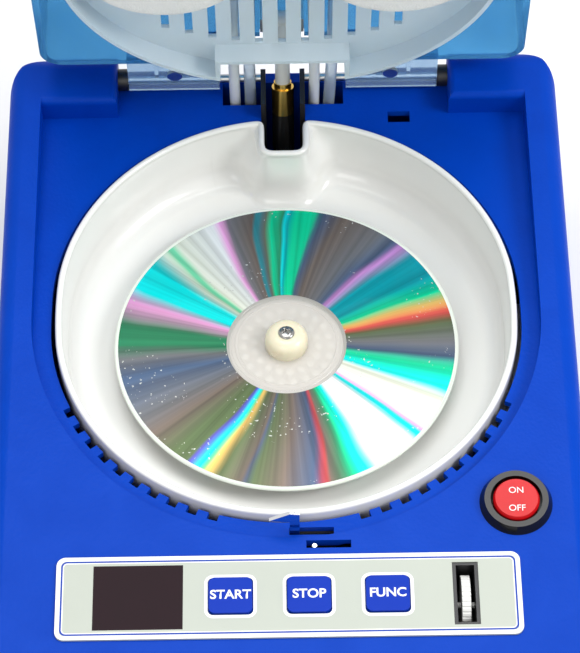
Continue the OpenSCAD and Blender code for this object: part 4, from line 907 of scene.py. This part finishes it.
# %% [markdown]
# ## The lid's felt pads
# Each pad is a disc of felt with a soft crowned edge and a rim of dark hooks that hold it. The
# face has the fine unevenness of pressed fibres.

# %% Make the felt finishes
felt = finish("felt", (0.80, 0.81, 0.78), (0.70, 0.71, 0.68), rough=(0.85, 0.95),
              grain=(1500.0, 1.0), smear=300.0)
hooks = finish("hooks", (0.030, 0.028, 0.026), (0.07, 0.065, 0.06), rough=(0.7, 0.9),
               grain=(1500.0, 0.8), smear=500.0)

# %% Model the pads
OPEN_TURN = math.radians(-82)
opened = (Matrix.Translation(hinge_point) @ Matrix.Rotation(OPEN_TURN, 4, "X")
          @ Matrix.Translation(-hinge_point))
PAD_X, PAD_Y, PAD_GAP = 39.5, 10.5, 0.4
SPOKES, RAGGED_FROM, RAGGED_BY = 180, 28.3, 0.20
FACE_SLOT, EDGE_SLOT = 0, 1
PAD_SHAPE = [(0.5, 0.0, FACE_SLOT), (9, 0.0, FACE_SLOT), (18, 0.0, FACE_SLOT),
             (26, 0.02, FACE_SLOT), (27.6, 0.15, FACE_SLOT), (28.2, 0.6, FACE_SLOT),
             (28.4, 1.6, EDGE_SLOT), (28.75, 2.2, EDGE_SLOT), (28.8, 3.0, EDGE_SLOT),
             (28.2, 3.9, EDGE_SLOT), (0.5, 3.95, EDGE_SLOT)]


def ragged(i, seed):
    """A repeatable small unevenness for spoke i."""
    return (math.sin(i * 2.399 + seed) + math.sin(i * 5.171 + 2 * seed)
            + math.sin(i * 9.733 + 3 * seed)) / 3


for side, name in ((-1, "left_pad"), (1, "right_pad")):
    pad_bm = bmesh.new()
    circles = []
    for r, h, _ in PAD_SHAPE:
        line = []
        for i in range(SPOKES):
            turn = 2 * math.pi * i / SPOKES
            jag = RAGGED_BY * ragged(i, 1.7 + side) if r > RAGGED_FROM else 0.0
            line.append(pad_bm.verts.new(((r + jag) * math.cos(turn) * MM,
                                          (r + jag) * math.sin(turn) * MM, h * MM)))
        circles.append(line)
    for k, (a, b) in enumerate(zip(circles, circles[1:])):
        for i in range(SPOKES):
            j = (i + 1) % SPOKES
            face = pad_bm.faces.new((a[i], a[j], b[j], b[i]))
            face.material_index = PAD_SHAPE[k + 1][2]
    pad_bm.faces.new(circles[0])
    pad_bm.faces.new(list(reversed(circles[-1]))).material_index = EDGE_SLOT
    bmesh.ops.recalc_face_normals(pad_bm, faces=pad_bm.faces)
    pad_mesh = mesh_from(pad_bm, name + "_felt")
    pad_mesh.materials.append(felt)
    pad_mesh.materials.append(hooks)
    pad_mesh.transform(opened @ Matrix.Translation((side * PAD_X * MM, PAD_Y * MM,
                                                    disc_top + PAD_GAP * MM)))
    pad_piece = new_object(name + "_felt", pad_mesh)
    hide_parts(name)
    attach(pad_piece, name)
print("pads done")

# %% [markdown]
# ## The hoses
# Two white and two clear hoses run from the case up into the lid. They are tubes swept along
# points.

# %% Sweep the hoses
def tube(name, points, radius, segments=16):
    """A capped tube through points, in millimetres, in a mesh of its own."""
    bm = bmesh.new()
    rings = []
    for k, point in enumerate(points):
        ahead = points[min(k + 1, len(points) - 1)] - points[max(k - 1, 0)]
        turn = Vector((0, 0, 1)).rotation_difference(ahead.normalized())
        ring = []
        for i in range(segments):
            a = 2 * math.pi * i / segments
            ring.append(bm.verts.new((point + turn @ Vector((radius * math.cos(a),
                                                             radius * math.sin(a), 0))) * MM))
        rings.append(ring)
    for a, b in zip(rings, rings[1:]):
        for i in range(segments):
            j = (i + 1) % segments
            bm.faces.new((a[i], a[j], b[j], b[i]))
    bm.faces.new(list(reversed(rings[0])))
    bm.faces.new(rings[-1])
    bmesh.ops.recalc_face_normals(bm, faces=bm.faces)
    return mesh_from(bm, name)


HOSE_AHEAD = 5.5
HOSE_LOW, HOSE_HIGH = 48.2, 125.8
HOSE_STEPS, HOSE_BOW = 31, 0.5
WHITE_R, CLEAR_R = 1.95, 2.15
hose_y = hinge_point.y / MM - HOSE_AHEAD
HOSES = [("white_hose_left", "white_hoses", -17.0, 0.0, WHITE_R, hose_white, "hose_white"),
         ("white_hose_right", "white_hoses", 11.0, 0.0, WHITE_R, hose_white, "hose_white"),
         ("clear_hose_left", "clear_hoses", -11.4, 0.0, CLEAR_R, hose_clear, "hose_clear"),
         ("clear_hose_right", "clear_hoses", 15.7, 2.8, CLEAR_R, hose_clear, "hose_clear")]
for name, node, x, lean, radius, made, slot in HOSES:
    points = []
    for k in range(HOSE_STEPS + 1):
        t = k / HOSE_STEPS
        bow = HOSE_BOW * math.sin(math.pi * t) * (1 if x > 0 else -1)
        points.append(Vector((x + lean * t + bow, hose_y,
                              HOSE_LOW + (HOSE_HIGH - HOSE_LOW) * t)))
    hose = new_object(name, tube(name, points, radius))
    hose.data.materials.append(made)
    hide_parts(node)
    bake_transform(hose)
print("hoses:", len(HOSES))
